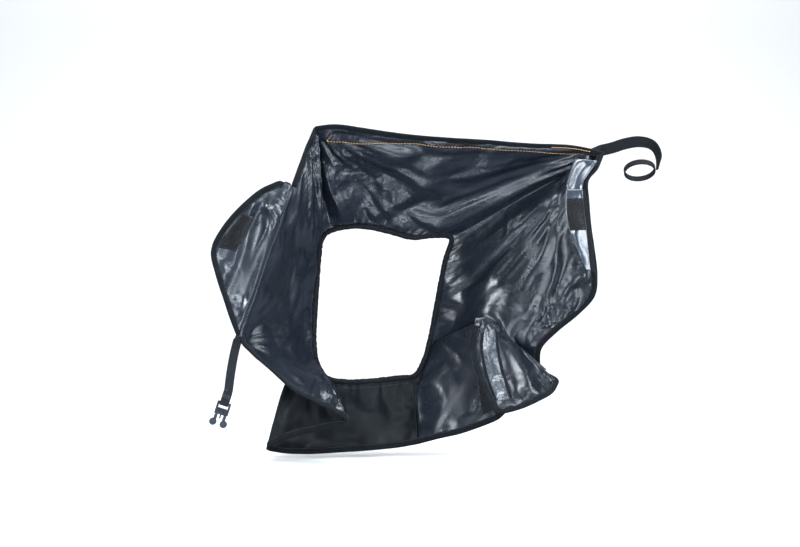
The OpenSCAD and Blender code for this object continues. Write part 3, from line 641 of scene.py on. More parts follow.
def simulate(group):
    """Blender's Cloth settles the folds"""
    points, faces, pins, first = [], [], [], 0
    for sheet in group:
        rows, columns = sheet.coarse.shape[:2]
        points.append(sheet.coarse.reshape(-1, 3))
        faces.append(grid_faces(rows, columns) + first)
        pin = np.full((rows, columns), PIN_EDGE)
        pin[1:-1, 1:-1] = PIN_NEXT
        pin[2:-2, 2:-2] = 0.0
        pins.append(pin.ravel())
        first += rows * columns
    start = np.concatenate(points) * MM * SIM_SCALE
    pins = np.concatenate(pins)
    mesh = bpy.data.meshes.new("cloth_work")
    mesh.from_pydata(start.tolist(), [], np.concatenate(faces).tolist())
    obj = bpy.data.objects.new("cloth_work", mesh)
    scene = bpy.context.scene
    scene.collection.objects.link(obj)
    pin_group = obj.vertex_groups.new(name="pin")
    for weight in (PIN_EDGE, PIN_NEXT):
        pin_group.add([int(i) for i in np.nonzero(pins == weight)[0]], weight, "REPLACE")
    set_cloth(obj.modifiers.new("Cloth", "CLOTH"))
    for frame in range(1, SIM_FRAMES + 1):
        scene.frame_set(frame)
    settled = np.empty(len(start) * 3)
    evaluated = obj.evaluated_get(bpy.context.evaluated_depsgraph_get())
    evaluated.data.vertices.foreach_get("co", settled)
    settled = settled.reshape(-1, 3)
    scene.frame_set(1)
    bpy.data.objects.remove(obj)
    bpy.data.meshes.remove(mesh)
    moves = (settled - start) / SIM_SCALE / MM
    first = 0
    for sheet in group:
        count = sheet.coarse.shape[0] * sheet.coarse.shape[1]
        move = moves[first:first + count].reshape(sheet.coarse.shape)
        for _ in range(2):             # takes out any one-cell zigzag
            even = move.copy()
            even[1:-1, 1:-1] = 0.5 * move[1:-1, 1:-1] + 0.125 * (
                move[:-2, 1:-1] + move[2:, 1:-1] + move[1:-1, :-2] + move[1:-1, 2:])
            move = even
        size = np.linalg.norm(move, axis=2, keepdims=True)
        cap = SETTLE_CAP.get(sheet.name, SETTLE_CAP_OTHER)
        sheet.coarse = sheet.coarse + move * np.minimum(1, cap / np.maximum(size, 1e-9))
        first += count


simulate([main, left, flap, gusset, bottom, lower, fly])
for each in (main, left, flap, gusset, bottom, lower, fly, tab, corner):
    each.make_fine()


# ------------------------------------------------------------------ mesh helpers
class Parts:
    """collects the parts of one mesh, in mm"""

    def __init__(self):
        self.points, self.faces, self.uvs, self.slots, self.count = [], [], [], [], 0

    def add(self, points, faces, uv=None, slot=0):
        points = np.asarray(points, float).reshape(-1, 3)
        self.points.append(points)
        self.uvs.append(points[:, [0, 2]] if uv is None else np.asarray(uv, float).reshape(-1, 2))
        for face in faces:
            self.faces.append([int(i) + self.count for i in face])
            self.slots.append(slot)
        self.count += len(points)

    def grid(self, grid, slot=0):
        self.add(grid, grid_faces(*grid.shape[:2]), np.stack(grid_lengths(grid), -1), slot)

    def sheet(self, sheet, slot=0):
        grid = sheet.surface
        self.grid(grid[:, ::-1] if faces_rear(grid) else grid, slot)

    def build(self, name, *materials):
        mesh = bpy.data.meshes.new(name)
        mesh.from_pydata((np.concatenate(self.points) * MM).tolist(), [], self.faces)
        mesh.validate(clean_customdata=False)
        uv_map = mesh.uv_layers.new(name="UVMap")
        corner_point = np.empty(len(mesh.loops), int)
        mesh.loops.foreach_get("vertex_index", corner_point)
        uv_map.data.foreach_set("uv", (np.concatenate(self.uvs)[corner_point] * MM).ravel())
        for material in materials:
            mesh.materials.append(material)
        mesh.polygons.foreach_set("material_index", np.asarray(self.slots, int))
        mesh.polygons.foreach_set("use_smooth", np.ones(len(mesh.polygons), bool))
        mesh.update()
        obj = bpy.data.objects.new(name, mesh)
        bpy.context.scene.collection.objects.link(obj)
        return obj


def recalc_normals(obj):
    work = bmesh.new()
    work.from_mesh(obj.data)
    bmesh.ops.recalc_face_normals(work, faces=work.faces)
    work.to_mesh(obj.data)
    work.free()


def solidify(obj, thickness, offset=0.0):
    modifier = obj.modifiers.new("t", "SOLIDIFY")
    modifier.thickness = thickness * MM
    modifier.offset = offset
    modifier.use_even_offset = False
    graph = bpy.context.evaluated_depsgraph_get()
    graph.update()
    mesh = bpy.data.meshes.new_from_object(obj.evaluated_get(graph), preserve_all_data_layers=True,
                                           depsgraph=graph)
    obj.modifiers.clear()
    old = obj.data
    obj.data = mesh
    mesh.name = obj.name
    bpy.data.meshes.remove(old)


def register(obj, slot, body, *replaced, fold_line=None):
    """ties a piece to its body, or, given a fold line, bakes its transform into its mesh; hides the
    parts it replaces
    """
    if fold_line:
        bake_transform(obj)
    else:
        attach(obj, body)
    if replaced:
        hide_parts(*replaced)


def bezier(a, b, c, d, t):
    return (1 - t) ** 3 * a + 3 * (1 - t) ** 2 * t * b + 3 * (1 - t) * t * t * c + t ** 3 * d


def bridge(parts, edge_a, edge_b, steps, reach, slot=0):
    """a rounded strip from edge to edge, leaving each along its own surface;
    an edge is its points and the directions out of its sheet"""
    count = max(len(edge_a[0]), len(edge_b[0]))

    def even(points, directions):
        lengths_to = arc_length(points)
        points = interp(np.linspace(0, lengths_to[-1], count), lengths_to, points)
        last = len(directions) - 1
        directions = interp(np.linspace(0, last, count), np.arange(last + 1), directions)
        return points, unit(directions)
    start, leave = even(*edge_a)
    end, arrive = even(*edge_b)
    pull = np.clip(np.linalg.norm(start - end, axis=1, keepdims=True) * reach, 0.4, 9.0)
    t = np.linspace(0, 1, steps + 1)[:, None, None]
    parts.grid(bezier(start, start + leave * pull, end + arrive * pull, end, t), slot)


def edge(sheet, side, start=0.0, end=1.0):
    """a sheet's edge between two shares of it and the directions out of the sheet there"""
    grid = sheet.surface
    rim, inner = {"u0": (grid[:, 0], grid[:, 2]), "u1": (grid[:, -1], grid[:, -3]),
                  "v0": (grid[0], grid[2]), "v1": (grid[-1], grid[-3])}[side]
    last = len(rim) - 1
    i, j = int(round(start * last)), int(round(end * last))
    part = slice(i, j + 1) if j > i else slice(i, j - 1 if j > 0 else None, -1)
    return rim[part], (rim - inner)[part]


def tube_faces(rings, sides, closed=False):
    """faces of a tube: closed on itself, or with a cap at either end"""
    index = np.arange(rings * sides).reshape(rings, sides)
    following = np.roll(index, -1, axis=0)
    faces = np.stack([index, following, np.roll(following, -1, axis=1),
                      np.roll(index, -1, axis=1)], -1)
    if closed:
        return faces.reshape(-1, 4).tolist()
    return faces[:-1].reshape(-1, 4).tolist() + [index[0].tolist(), index[-1][::-1].tolist()]


def yarn_faces(rings, sides):
    """faces of a capped piece of yarn, wound the other way round"""
    faces = [[i * sides + j, i * sides + (j + 1) % sides,
              (i + 1) * sides + (j + 1) % sides, (i + 1) * sides + j]
             for i in range(rings - 1) for j in range(sides)]
    return faces + [list(range(sides))[::-1], [(rings - 1) * sides + j for j in range(sides)]]


# ------------------------------------------------------------------ materials
class Shader:
    """a node material round one Principled BSDF; bumps stack in the order they are added"""

    def __init__(self, name):
        self.material = bpy.data.materials.new(name)
        self.material.use_nodes = True
        self.tree = self.material.node_tree
        self.tree.nodes.clear()
        self.output = self.node("ShaderNodeOutputMaterial")
        self.principled = self.node("ShaderNodeBsdfPrincipled")
        self.link(self.principled.outputs[0], self.output.inputs[0])
        self.coords = self.node("ShaderNodeTexCoord")
        self.last_bump = None

    def node(self, kind, **properties):
        node = self.tree.nodes.new(kind)
        for name, value in properties.items():
            setattr(node, name, value)
        return node

    def link(self, source, target):
        self.tree.links.new(source, target)

    def math(self, operation, *values):
        node = self.node("ShaderNodeMath", operation=operation)
        for socket, value in zip(node.inputs, values):
            if isinstance(value, (int, float)):
                socket.default_value = value
            else:
                self.link(value, socket)
        return node.outputs[0]

    def wave(self, value, frequency):
        return self.math("SINE", self.math("MULTIPLY", value, frequency))

    def noise(self, scale, detail, rough, kind="FBM", distortion=0.0):
        node = self.node("ShaderNodeTexNoise", noise_type=kind)
        node.inputs["Scale"].default_value = scale
        node.inputs["Detail"].default_value = detail
        node.inputs["Roughness"].default_value = rough
        node.inputs["Distortion"].default_value = distortion
        self.link(self.coords.outputs["Object"], node.inputs["Vector"])
        return node.outputs[0]

    def voronoi(self, scale):
        node = self.node("ShaderNodeTexVoronoi")
        node.inputs["Scale"].default_value = scale
        self.link(self.coords.outputs["Object"], node.inputs["Vector"])
        return node.outputs["Distance"]

    def uv(self):
        node = self.node("ShaderNodeSeparateXYZ")
        self.link(self.coords.outputs["UV"], node.inputs[0])
        return node.outputs[0], node.outputs[1]

    def bump(self, height, distance, strength):
        node = self.node("ShaderNodeBump")
        node.inputs["Distance"].default_value = distance
        node.inputs["Strength"].default_value = strength
        self.link(height, node.inputs["Height"])
        if self.last_bump:
            self.link(self.last_bump, node.inputs["Normal"])
        self.last_bump = node.outputs[0]
        self.link(node.outputs[0], self.principled.inputs["Normal"])

    def mix(self, first, second, factor):
        node = self.node("ShaderNodeMix", data_type="RGBA", blend_type="MIX")
        for socket, colour in ((node.inputs[6], first), (node.inputs[7], second)):
            if isinstance(colour, tuple):
                socket.default_value = (*colour, 1)
            else:
                self.link(colour, socket)
        self.link(factor, node.inputs[0])
        return node.outputs[2]

    def remap(self, value, span, to=(0.0, 1.0)):
        node = self.node("ShaderNodeMapRange")
        self.link(value, node.inputs[0])
        for i, limit in enumerate((*span, *to)):
            node.inputs[i + 1].default_value = limit
        return node.outputs[0]

    def mottle(self, dark, light, span, **noise_values):
        return self.mix(dark, light, self.remap(self.noise(**noise_values), span))

    def base(self, colour):
        self.link(colour, self.principled.inputs["Base Color"])

    def roughness(self, value):
        self.link(value, self.principled.inputs["Roughness"])

    def set(self, **values):
        for name, value in values.items():
            self.principled.inputs[name.replace("_", " ")].default_value = value


def fabric(name, dark, light, rough, coat, crinkle, specular):
    """coated cloth: mottled, specked, crinkled and faintly woven"""
    shader = Shader(name)
    weave_frequency = 2 * math.pi / 0.0007
    colour = shader.mottle(dark, light, span=(0.35, 0.68), scale=26, detail=4, rough=0.6)
    speck = shader.noise(scale=900, detail=2, rough=0.5)
    speck_colour = tuple(min(1, channel * 1.7 + 0.004) for channel in light)
    shader.base(shader.mix(colour, speck_colour,
                           shader.remap(speck, span=(0.6, 0.85), to=(0.0, 0.22))))
    shader.roughness(shader.remap(shader.noise(scale=60, detail=5, rough=0.6),
                                  span=(0.3, 0.72), to=rough))
    shader.bump(shader.noise(scale=85, detail=5, rough=0.55, kind="RIDGED_MULTIFRACTAL",
                             distortion=0.25), distance=0.0005 * crinkle, strength=0.45)
    shader.bump(shader.noise(scale=310, detail=3, rough=0.55),
                distance=0.00010 * crinkle, strength=0.4)
    u, v = shader.uv()
    weave = shader.math("MULTIPLY", shader.wave(u, weave_frequency),
                        shader.wave(v, weave_frequency))
    shader.bump(weave, distance=0.00002, strength=0.4)
    shader.set(Coat_Weight=coat, Coat_Roughness=0.25, Specular_IOR_Level=specular,
               Sheen_Weight=0.0, Sheen_Roughness=0.4)
    return shader.material


M_fabric = fabric("coated_fabric", dark=(0.0042, 0.0063, 0.0102), light=(0.0078, 0.0107, 0.0165),
                  rough=(0.24, 0.36), coat=0.10, crinkle=0.65, specular=0.5)
M_glossy = fabric("glossy_fabric", dark=(0.0200, 0.0275, 0.0390), light=(0.0340, 0.0440, 0.0600),
                  rough=(0.20, 0.31), coat=0.35, crinkle=0.6, specular=0.65)
M_flap = fabric("flap_fabric", dark=(0.0085, 0.0125, 0.0185), light=(0.0150, 0.0205, 0.0290),
                rough=(0.23, 0.34), coat=0.22, crinkle=0.55, specular=0.48)
# darker copy of the coated fabric for the gusset, the bottom and the folds between them: its darker
# base colour is painted shade
M_lower_shaded = fabric("lower_fabric_painted_shade", dark=(0.0012, 0.0024, 0.0038), light=(0.0026, 0.0044, 0.0064),
                 rough=(0.44, 0.58), coat=0.0, crinkle=0.9, specular=0.15)


def tape(name, dark, light, pitch, rough, sheen, depth):
    """ribbed tape; pitch and depth of the ribs in metres"""
    shader = Shader(name)
    u, v = shader.uv()
    ribs = shader.wave(u, 2 * math.pi / pitch)
    cross = shader.wave(v, 2 * math.pi / (pitch * 0.8))
    height = shader.math("ADD", ribs, shader.math("MULTIPLY", cross, 0.35))
    shader.base(shader.mottle(dark, light, span=(0.3, 0.7), scale=140, detail=4, rough=0.6))
    shader.bump(shader.noise(scale=420, detail=3, rough=0.6), distance=0.0002, strength=0.5)
    shader.bump(height, distance=depth, strength=0.8)
    shader.roughness(shader.remap(shader.noise(scale=200, detail=3, rough=0.5),
                                  span=(0.3, 0.7), to=(rough - 0.08, rough + 0.1)))
    shader.set(Sheen_Weight=sheen, Sheen_Roughness=0.5, Specular_IOR_Level=0.13)
    return shader.material


M_tape = tape("binding_tape", dark=(0.0014, 0.0026, 0.0038), light=(0.0034, 0.0056, 0.0080),
              pitch=0.0011, rough=0.72, sheen=0.03, depth=0.00012)
M_hem = tape("hem_fabric", dark=(0.0030, 0.0036, 0.0052), light=(0.0062, 0.0072, 0.0100),
             pitch=0.0016, rough=0.66, sheen=0.03, depth=0.0001)
M_elastic_cord = tape("elastic_cord", dark=(0.06, 0.06, 0.065), light=(0.11, 0.11, 0.12),
                      pitch=0.0009, rough=0.7, sheen=0.3, depth=0.0002)


def thread(name, dark, light):
    """plied thread"""
    shader = Shader(name)
    u, v = shader.uv()
    ply = shader.math("SINE", shader.math("ADD", shader.math("MULTIPLY", u, 9000),
                                          shader.math("MULTIPLY", v, 3200)))
    shader.base(shader.mix(dark, light, shader.remap(ply, span=(-1, 1))))
    shader.bump(ply, distance=0.0001, strength=0.9)
    shader.set(Roughness=0.5, Sheen_Weight=0.3, Sheen_Roughness=0.4)
    return shader.material


M_orange = thread("orange_thread", dark=(0.50, 0.22, 0.055), light=(0.92, 0.52, 0.20))
M_black = thread("black_thread", dark=(0.010, 0.011, 0.013), light=(0.032, 0.034, 0.040))


def loop_pile():
    shader = Shader("loop_pile")
    shader.base(shader.mottle((0.0035, 0.0038, 0.0048), (0.011, 0.012, 0.015),
                              span=(0.35, 0.75), scale=700, detail=4, rough=0.7))
    shader.bump(shader.noise(scale=620, detail=5, rough=0.75, distortion=1.2),
                distance=0.0009, strength=0.9)
    shader.bump(shader.voronoi(scale=1100), distance=0.0004, strength=0.8)
    shader.set(Roughness=0.92, Sheen_Weight=0.35, Sheen_Roughness=0.35, Specular_IOR_Level=0.25)
    return shader.material


def hook_tape():
    shader = Shader("hook_tape")
    shader.base(shader.mottle((0.030, 0.036, 0.044), (0.075, 0.085, 0.10),
                              span=(0.35, 0.7), scale=210, detail=4, rough=0.65))
    shader.bump(shader.noise(scale=170, detail=5, rough=0.6, kind="RIDGED_MULTIFRACTAL"),
                distance=0.0005, strength=0.6)
    shader.bump(shader.voronoi(scale=800), distance=0.0003, strength=0.6)
    shader.set(Roughness=0.24, Coat_Weight=0.3, Coat_Roughness=0.15, Specular_IOR_Level=0.6)
    return shader.material


M_loop = loop_pile()
M_hook = hook_tape()


def webbing(name, dark, light, pitch, rough, specular, depth):
    """chevron weave of narrow webbing; pitch and depth in metres"""
    shader = Shader(name)
    u, v = shader.uv()
    frequency = 2 * math.pi / pitch
    zigzag = shader.math("PINGPONG", shader.math("ADD", v, 1.0), pitch * 1.6)
    chevron = shader.math("SINE", shader.math("ADD", shader.math("MULTIPLY", u, frequency),
                                              shader.math("MULTIPLY", zigzag, frequency * 0.9)))
    fine = shader.wave(v, frequency * 2.7)
    height = shader.math("ADD", chevron, shader.math("MULTIPLY", fine, 0.5))
    shader.base(shader.mix(dark, light, shader.remap(height, span=(-1.2, 1.2))))
    shader.bump(shader.noise(scale=500, detail=3, rough=0.6), distance=0.00012, strength=0.5)
    shader.bump(height, distance=depth, strength=0.9)
    shader.set(Roughness=rough, Sheen_Weight=0.03, Sheen_Roughness=0.4,
               Specular_IOR_Level=specular)
    return shader.material


M_web = webbing("webbing", dark=(0.0050, 0.0060, 0.0078), light=(0.0150, 0.0175, 0.0220),
                pitch=0.0016, rough=0.6, specular=0.2, depth=0.00022)
M_band = webbing("elastic_band", dark=(0.0035, 0.0042, 0.0056), light=(0.0120, 0.0135, 0.0170),
                 pitch=0.0013, rough=0.65, specular=0.16, depth=0.0002)


def buckle_plastic():
    """moulded plastic, with a painted highlight that makes its sharp edges paler"""
    shader = Shader("buckle_plastic")
    geometry = shader.node("ShaderNodeNewGeometry")
    # painted edge highlight: the colour turns paler where the surface is pointy
    edge_highlight = shader.remap(geometry.outputs["Pointiness"], span=(0.52, 0.62))
    body = shader.mottle((0.0065, 0.0090, 0.0125), (0.013, 0.0175, 0.0235),
                         span=(0.35, 0.7), scale=90, detail=4, rough=0.6)
    shader.base(shader.mix(body, (0.040, 0.050, 0.062), shader.math("MULTIPLY", edge_highlight, 0.6)))
    shader.bump(shader.noise(scale=1500, detail=3, rough=0.6), distance=0.00008, strength=0.55)
    shader.bump(shader.noise(scale=120, detail=3, rough=0.5), distance=0.0002, strength=0.25)
    shader.roughness(shader.remap(shader.noise(scale=260, detail=4, rough=0.6),
                                  span=(0.3, 0.7), to=(0.24, 0.38)))
    shader.set(Specular_IOR_Level=0.34)
    return shader.material


M_plastic = buckle_plastic()

# ------------------------------------------------------------------ the fabric shell
CLOTH = 0.5                           # thickness of the cloth
shell = Parts()
for each, slot in ((main, 0), (left, 0), (gusset, 1), (bottom, 1), (lower, 0)):
    shell.sheet(each, slot)
# the top's left edge turns under the left panel
bridge(shell, edge(left, "v1", 0.0, 0.335), edge(main, "u0", 0.04, 1.0), steps=10, reach=0.8)
# the tongue: left panel to gusset
bridge(shell, edge(left, "v1", 1.0, 0.667), edge(gusset, "u1"), steps=10, reach=0.7, slot=1)
# the pleat's far fold: gusset to bottom
bridge(shell, edge(gusset, "u0"), edge(bottom, "u0"), steps=10, reach=0.7, slot=1)
bridge(shell, edge(bottom, "u1"), edge(lower, "u0", 0.0, 0.66), steps=4, reach=0.35, slot=1)
bridge(shell, edge(lower, "v1"), edge(main, "u1", 1.0, 0.58), steps=6, reach=0.5, slot=1)
# lower right panel to the lower right part of the rear hole
hole_part = place(sample_loop(hole, np.linspace(13.6, 10.8, 30) / len(hole)))
bridge(shell, edge(lower, "u0", 0.58, 1.0), (hole_part, np.tile(vec(0.3, -1, -0.4), (30, 1))),
       steps=4, reach=0.3, slot=1)
cover_shell = shell.build("cover_shell", M_fabric, M_lower_shaded)
solidify(cover_shell, CLOTH)
register(cover_shell, "coated_fabric", "cover", "top_panel", "right_panel", "left_panel",
         "left_gusset", "bottom_panel", "lower_right_panel")


# ------------------------------------------------------------------ the folding pieces
def fold_blend(start, end, into, reach):
    """start and end, in metres, of a blend from the line start-end towards the point into"""
    start, end, into = place(start), place(end), place(into)
    along = (end - start) / np.linalg.norm(end - start)
    foot = start + along * ((into - start) @ along)
    tip = foot + (into - foot) / np.linalg.norm(into - foot) * reach
    return [tuple(float(value) * MM for value in point) for point in (foot, tip)]


FLAP_BLEND = fold_blend(flap_fold_top, flap_fold_low, vec(-205, 225, -66), 11.0)
FLY_BLEND = fold_blend(fly_fold_low, fly_fold_top, vec(112, 80, -22), 10.0)
TAB_BLEND = fold_blend(tab_fold_top, tab_fold_low, vec(192, 262, -44), 7.0)


def cloth_piece(name, parts, material, thickness=CLOTH):
    obj = parts.build(name, material)
    solidify(obj, thickness)
    return obj


def sheet_parts(sheet):
    parts = Parts()
    parts.sheet(sheet)
    return parts


flap_parts = sheet_parts(flap)
bridge(flap_parts, edge(left, "v0", 0.1667, 0.5), edge(flap, "v1"), steps=4, reach=0.3)
register(cloth_piece("side_flap_fabric", flap_parts, M_flap), "glossy_fabric", "side_flap",
         "left_flap", fold_line=FLAP_BLEND)
register(cloth_piece("fly_fabric", sheet_parts(fly), M_fabric), "coated_fabric", "fly",
         "fly_flap", fold_line=FLY_BLEND)
fly_root = Parts()
bridge(fly_root, edge(main, "u1", 0.0, 0.64), edge(fly, "u1", 0.18, 1.0), steps=6, reach=0.5)
register(cloth_piece("fly_root", fly_root, M_fabric), "coated_fabric", "cover")
register(cloth_piece("closure_tab_fabric", sheet_parts(tab), M_glossy), "glossy_fabric", "tab",
         "closure_tab", fold_line=TAB_BLEND)


def right_u(u):
    """u on the main sheet of a share of the right panel"""
    return TOP_SHARE + (1 - TOP_SHARE) * u


tab_root = Parts()
root_u = right_u(np.linspace(0.24, 0.61, 30))
bridge(tab_root, edge(tab, "v0"),
       (main.point(root_u, 0.03), -main.normal(root_u, 0.03) * 0.2 + vec(1, 0, 0)),
       steps=5, reach=0.4)
register(cloth_piece("tab_root", tab_root, M_tape, 0.9), "glossy_fabric", "cover")
register(cloth_piece("corner_facing_fabric", sheet_parts(corner), M_glossy, 0.6),
         "glossy_fabric", "cover", "corner_facing")

# ------------------------------------------------------------------ threads
# five rings of a stitch: share of its length, radius factor, and lift off the cloth in mm
STITCH_SHARE = vec(0.0, 0.12, 0.5, 0.88, 1.0)
STITCH_RADIUS = vec(0.35, 0.9, 1.0, 0.9, 0.35)
STITCH_LIFT = vec(-1.0, -0.1, 0.35, -0.1, -1.0) * 0.25
STITCH_SIDES = 6


def stitches(parts, curve, normals, size, slot=0):
    """separate stitches along a curve; size is their length, gap and radius"""
    length, gap, radius = size
    lengths_to = arc_length(curve)
    angles = np.arange(STITCH_SIDES) * math.pi / 3
    faces = yarn_faces(len(STITCH_SHARE), STITCH_SIDES)
    for i in range(int(lengths_to[-1] / (length + gap))):
        along = i * (length + gap) + gap / 2 + STITCH_SHARE * length
        centre = interp(along, lengths_to, curve)
        up = unit(interp(along, lengths_to, normals))
        side = np.cross(unit(np.gradient(centre, axis=0)), up)
        ring = (side[:, None] * np.cos(angles)[None, :, None]
                + up[:, None] * np.sin(angles)[None, :, None])
        points = (centre[:, None] + up[:, None] * STITCH_LIFT[:, None, None]
                  + ring * (STITCH_RADIUS * radius)[:, None, None])
        uv = np.stack([np.repeat(along, STITCH_SIDES),
                       np.tile(angles * radius, len(STITCH_SHARE))], -1)
        parts.add(points, faces, uv, slot)


# ------------------------------------------------------------------ bound edges
# half section of the folded tape: distance into the cloth from the rim, and height off it
HALF_TAPE = [(7.5, 0.75), (7.1, 1.1), (6.5, 0.92), (5.9, 1.22), (4.6, 1.42), (3.0, 1.55),
             (1.7, 1.6), (0.75, 1.3), (0.15, 0.7)]
TAPE = vec(*(HALF_TAPE + [(inward, -height) for inward, height in HALF_TAPE[::-1]]))
RIM_DEPTH = 0.14                      # share into the sheet that the tape's section points at
TAPE_STEP = 1.5


def rim(sheet, panel, start, end, count, to_sheet=lambda u: u):
    """rim curve of a panel and the direction into its cloth"""
    u = np.linspace(start, end, count)
    path = place(sample(PANELS[panel][0], u))
    return path, unit(sheet.point(to_sheet(u), RIM_DEPTH) - path)


def hairpin(before, after, reach=6.0, count=9):
    """joins the end of one rim to the start of the next with a rounded turn"""
    (path_a, side_a), (path_b, side_b) = before, after
    leave, arrive = unit(path_a[-1] - path_a[-3]), unit(path_b[2] - path_b[0])
    t = np.linspace(0, 1, count)[1:-1, None]
    curve = bezier(path_a[-1], path_a[-1] + leave * reach, path_b[0] - arrive * reach,
                   path_b[0], t)
    return curve, unit((1 - t) * side_a[-1] + t * side_b[0])


def across(direction, tangent):
    """the unit part of direction square to the tangent"""
    return unit(direction - tangent * (direction * tangent).sum(1, keepdims=True))


def bound_edge(name, segments, seed, extra=None, materials=(M_tape, M_black)):
    """the folded tape along joined rim segments, with its two rows of thread"""
    path = np.concatenate([segment[0] for segment in segments])
    side = np.concatenate([segment[1] for segment in segments])
    apart = np.linalg.norm(np.diff(path, axis=0), axis=1) > 0.05
    keep = np.concatenate([[True], apart])
    path, side = path[keep], side[keep]
    lengths_to = arc_length(path)
    total = lengths_to[-1]
    count = int(round(total / TAPE_STEP)) + 1
    t = np.linspace(0, total, count)
    path, side = interp(t, lengths_to, path), interp(t, lengths_to, side)
    for _ in range(5):
        for curve in (side, path):
            curve[1:-1] = 0.5 * curve[1:-1] + 0.25 * (curve[:-2] + curve[2:])
    tangent = unit(np.gradient(path, axis=0))
    inward = across(side, tangent)
    normal = np.cross(tangent, inward)

    def ripple(length, lane):
        return noise_xyz(t / length + seed * 3.3, lane, 0.5)
    wave = 0.35 * (ripple(14, 1.5) + 0.5 * ripple(6, 4.5))
    thick = 1 + 0.12 * ripple(5, 8.5) + 0.05 * np.sin(2 * math.pi * t / 3.2)
    wide = 1 + 0.05 * ripple(9, 12.5)
    ends = np.minimum(smooth(t / 1.6 + 0.35), smooth((total - t) / 1.6 + 0.35))
    height = TAPE[None, :, 1] * (thick * ends)[:, None] + wave[:, None]
    points = (path[:, None] + inward[:, None] * (TAPE[None, :, 0] * wide[:, None])[..., None]
              + normal[:, None] * height[..., None])
    uv = np.stack(np.broadcast_arrays(t[:, None], arc_length(TAPE)[None, :]), -1)
    parts = Parts()
    parts.add(points, tube_faces(count, len(TAPE)), uv)
    for face in (1, -1):
        curve = (path + inward * (6.5 * wide)[:, None]
                 + normal * (face * 0.98 * thick * ends + wave)[:, None])
        stitches(parts, curve[2:-2], face * normal[2:-2], (2.3, 0.9, 0.26), slot=1)
    if extra:
        extra(parts, path, inward, normal, thick, wave)
    obj = parts.build(name, *materials)
    recalc_normals(obj)
    return obj


def orange_run(parts, path, inward, normal, thick, wave):
    """short run of orange thread on the front of the top binding"""
    i, j = sorted(np.argmin(np.linalg.norm(path - place(end), axis=1))
                  for end in (vec(174, 357.3, -24), vec(222, 352.5, -16)))
    face = -1 if normal[(i + j) // 2][1] > 0 else 1
    curve = path + inward * 3.2 + normal * (face * 1.62 * thick + wave)[:, None]
    stitches(parts, curve[i:j], face * normal[i:j], (2.6, 0.5, 0.42), slot=2)


upper_segments = [rim(left, "left", 0.1667, 0.0, 22),
                  rim(main, "top", 0.0, 1.0, 160, lambda u: u * TOP_SHARE),
                  rim(main, "right", 0.0, 1.0, 150, right_u)]
register(bound_edge("upper_rim_binding", upper_segments, seed=1, extra=orange_run,
                    materials=(M_tape, M_black, M_orange)),
         "binding_tape", "cover", "corner_binding", "top_binding", "right_binding")

left_rim = rim(left, "left", 0.5, 1.0, 70)
gusset_rim = rim(gusset, "gusset", 1.0, 0.0, 50)
bottom_rim = rim(bottom, "bottom", 0.0, 1.0, 80)
lower_segments = [left_rim, hairpin(left_rim, gusset_rim), gusset_rim,
                  hairpin(gusset_rim, bottom_rim), bottom_rim,
                  rim(lower, "lower", 0.0, 1.0, 60)]
register(bound_edge("lower_rim_binding", lower_segments, seed=2), "binding_tape", "cover",
         "left_lower_binding", "gusset_binding", "bottom_binding", "lower_right_binding")

# the side flap's tape starts and ends on its fold line
flap_path, flap_side = rim(flap, "flap", 0.0, 1.0, 110)
fold_start, fold_end = place(flap_fold_top), place(flap_fold_low)
flap_lead = (np.stack([mix(fold_start, flap_path[0], k) for k in (0.0, 0.35, 0.7)]),
             np.stack([flap_side[0]] * 3))
flap_tail = (np.stack([mix(flap_path[-1], fold_end, k) for k in (0.4, 0.8)]),
             np.stack([flap_side[-1]] * 2))
register(bound_edge("side_flap_binding", [flap_lead, (flap_path, flap_side), flap_tail], seed=3),
         "binding_tape", "side_flap", "flap_binding", fold_line=FLAP_BLEND)

# the fly's tape runs down its u = 0 edge, along its rim and on to the cover
end_v = np.linspace(0.92, 0.0, 60)
end_path = place(sample([sample(row, 0.0)[0] for row in PANELS["fly"]], end_v))
fly_end = (end_path, unit(fly.point(RIM_DEPTH, end_v) - end_path))
fly_rim = rim(fly, "fly", 0.0, 1.0, 60)
fly_tail = (place(vec([183.5, 83.5, 0.5], [182, 87.5, 2], [178, 90.5, 4], [170, 94.5, 6],
                      [163.5, 99, 7.5])),
            unit(np.stack([fly_rim[1][-1], vec(-0.5, 0, 0.2), vec(-0.6, 0, -0.4),
                           vec(-0.6, 0, -0.75), vec(-0.55, 0, -0.8)])))
register(bound_edge("fly_binding", [fly_end, fly_rim, fly_tail], seed=4), "binding_tape", "fly",
         "fly_edge_binding", "fly_rim_binding", fold_line=FLY_BLEND)


# ------------------------------------------------------------------ rear hem
def rear_hem(count=560, outer_radius=3.3, inner_radius=2.05):
    """open channel round the rear hole: a gathered outer skin and a smooth inner skin"""
    path = place(sample_loop(hole, np.arange(count) / count))
    tangent = unit(np.roll(path, -1, 0) - np.roll(path, 1, 0))
    outward = across(path * vec(1, 0, 1), tangent)
    normal = np.cross(tangent, outward)
    along = arc_length(path)
    total = along[-1]
    angles = np.radians(np.linspace(30, 330, 16))
    turn = (2 * math.pi * along / total)[:, None]
    radius = total / (2 * math.pi * 2.6)
    creases = np.stack(np.broadcast_arrays(np.cos(turn) * radius, np.sin(turn) * radius,
                                           angles[None, :] * 0.55), -1)
    gathered = outer_radius + 0.42 * noise(creases) + 0.16 * noise(creases * 2.3 + 9)

    def skin(radii, around):
        return (path[:, None] + outward[:, None] * (radii * np.cos(around))[..., None]
                + normal[:, None] * (radii * np.sin(around))[..., None])
    inner_angles = angles[::-1][::2]
    inner = skin(np.full((count, len(inner_angles)), inner_radius), inner_angles)
    points = np.concatenate([skin(gathered, angles), inner], axis=1)
    sides = points.shape[1]
    uv = np.stack(np.broadcast_arrays(along[:, None], np.arange(sides)[None, :] * 1.1), -1)
    parts = Parts()
    parts.add(points, tube_faces(count, sides, closed=True), uv)
    obj = parts.build("rear_hem_tube", M_hem)
    recalc_normals(obj)
    register(obj, "hem_fabric", "cover", "rear_hem")


rear_hem()


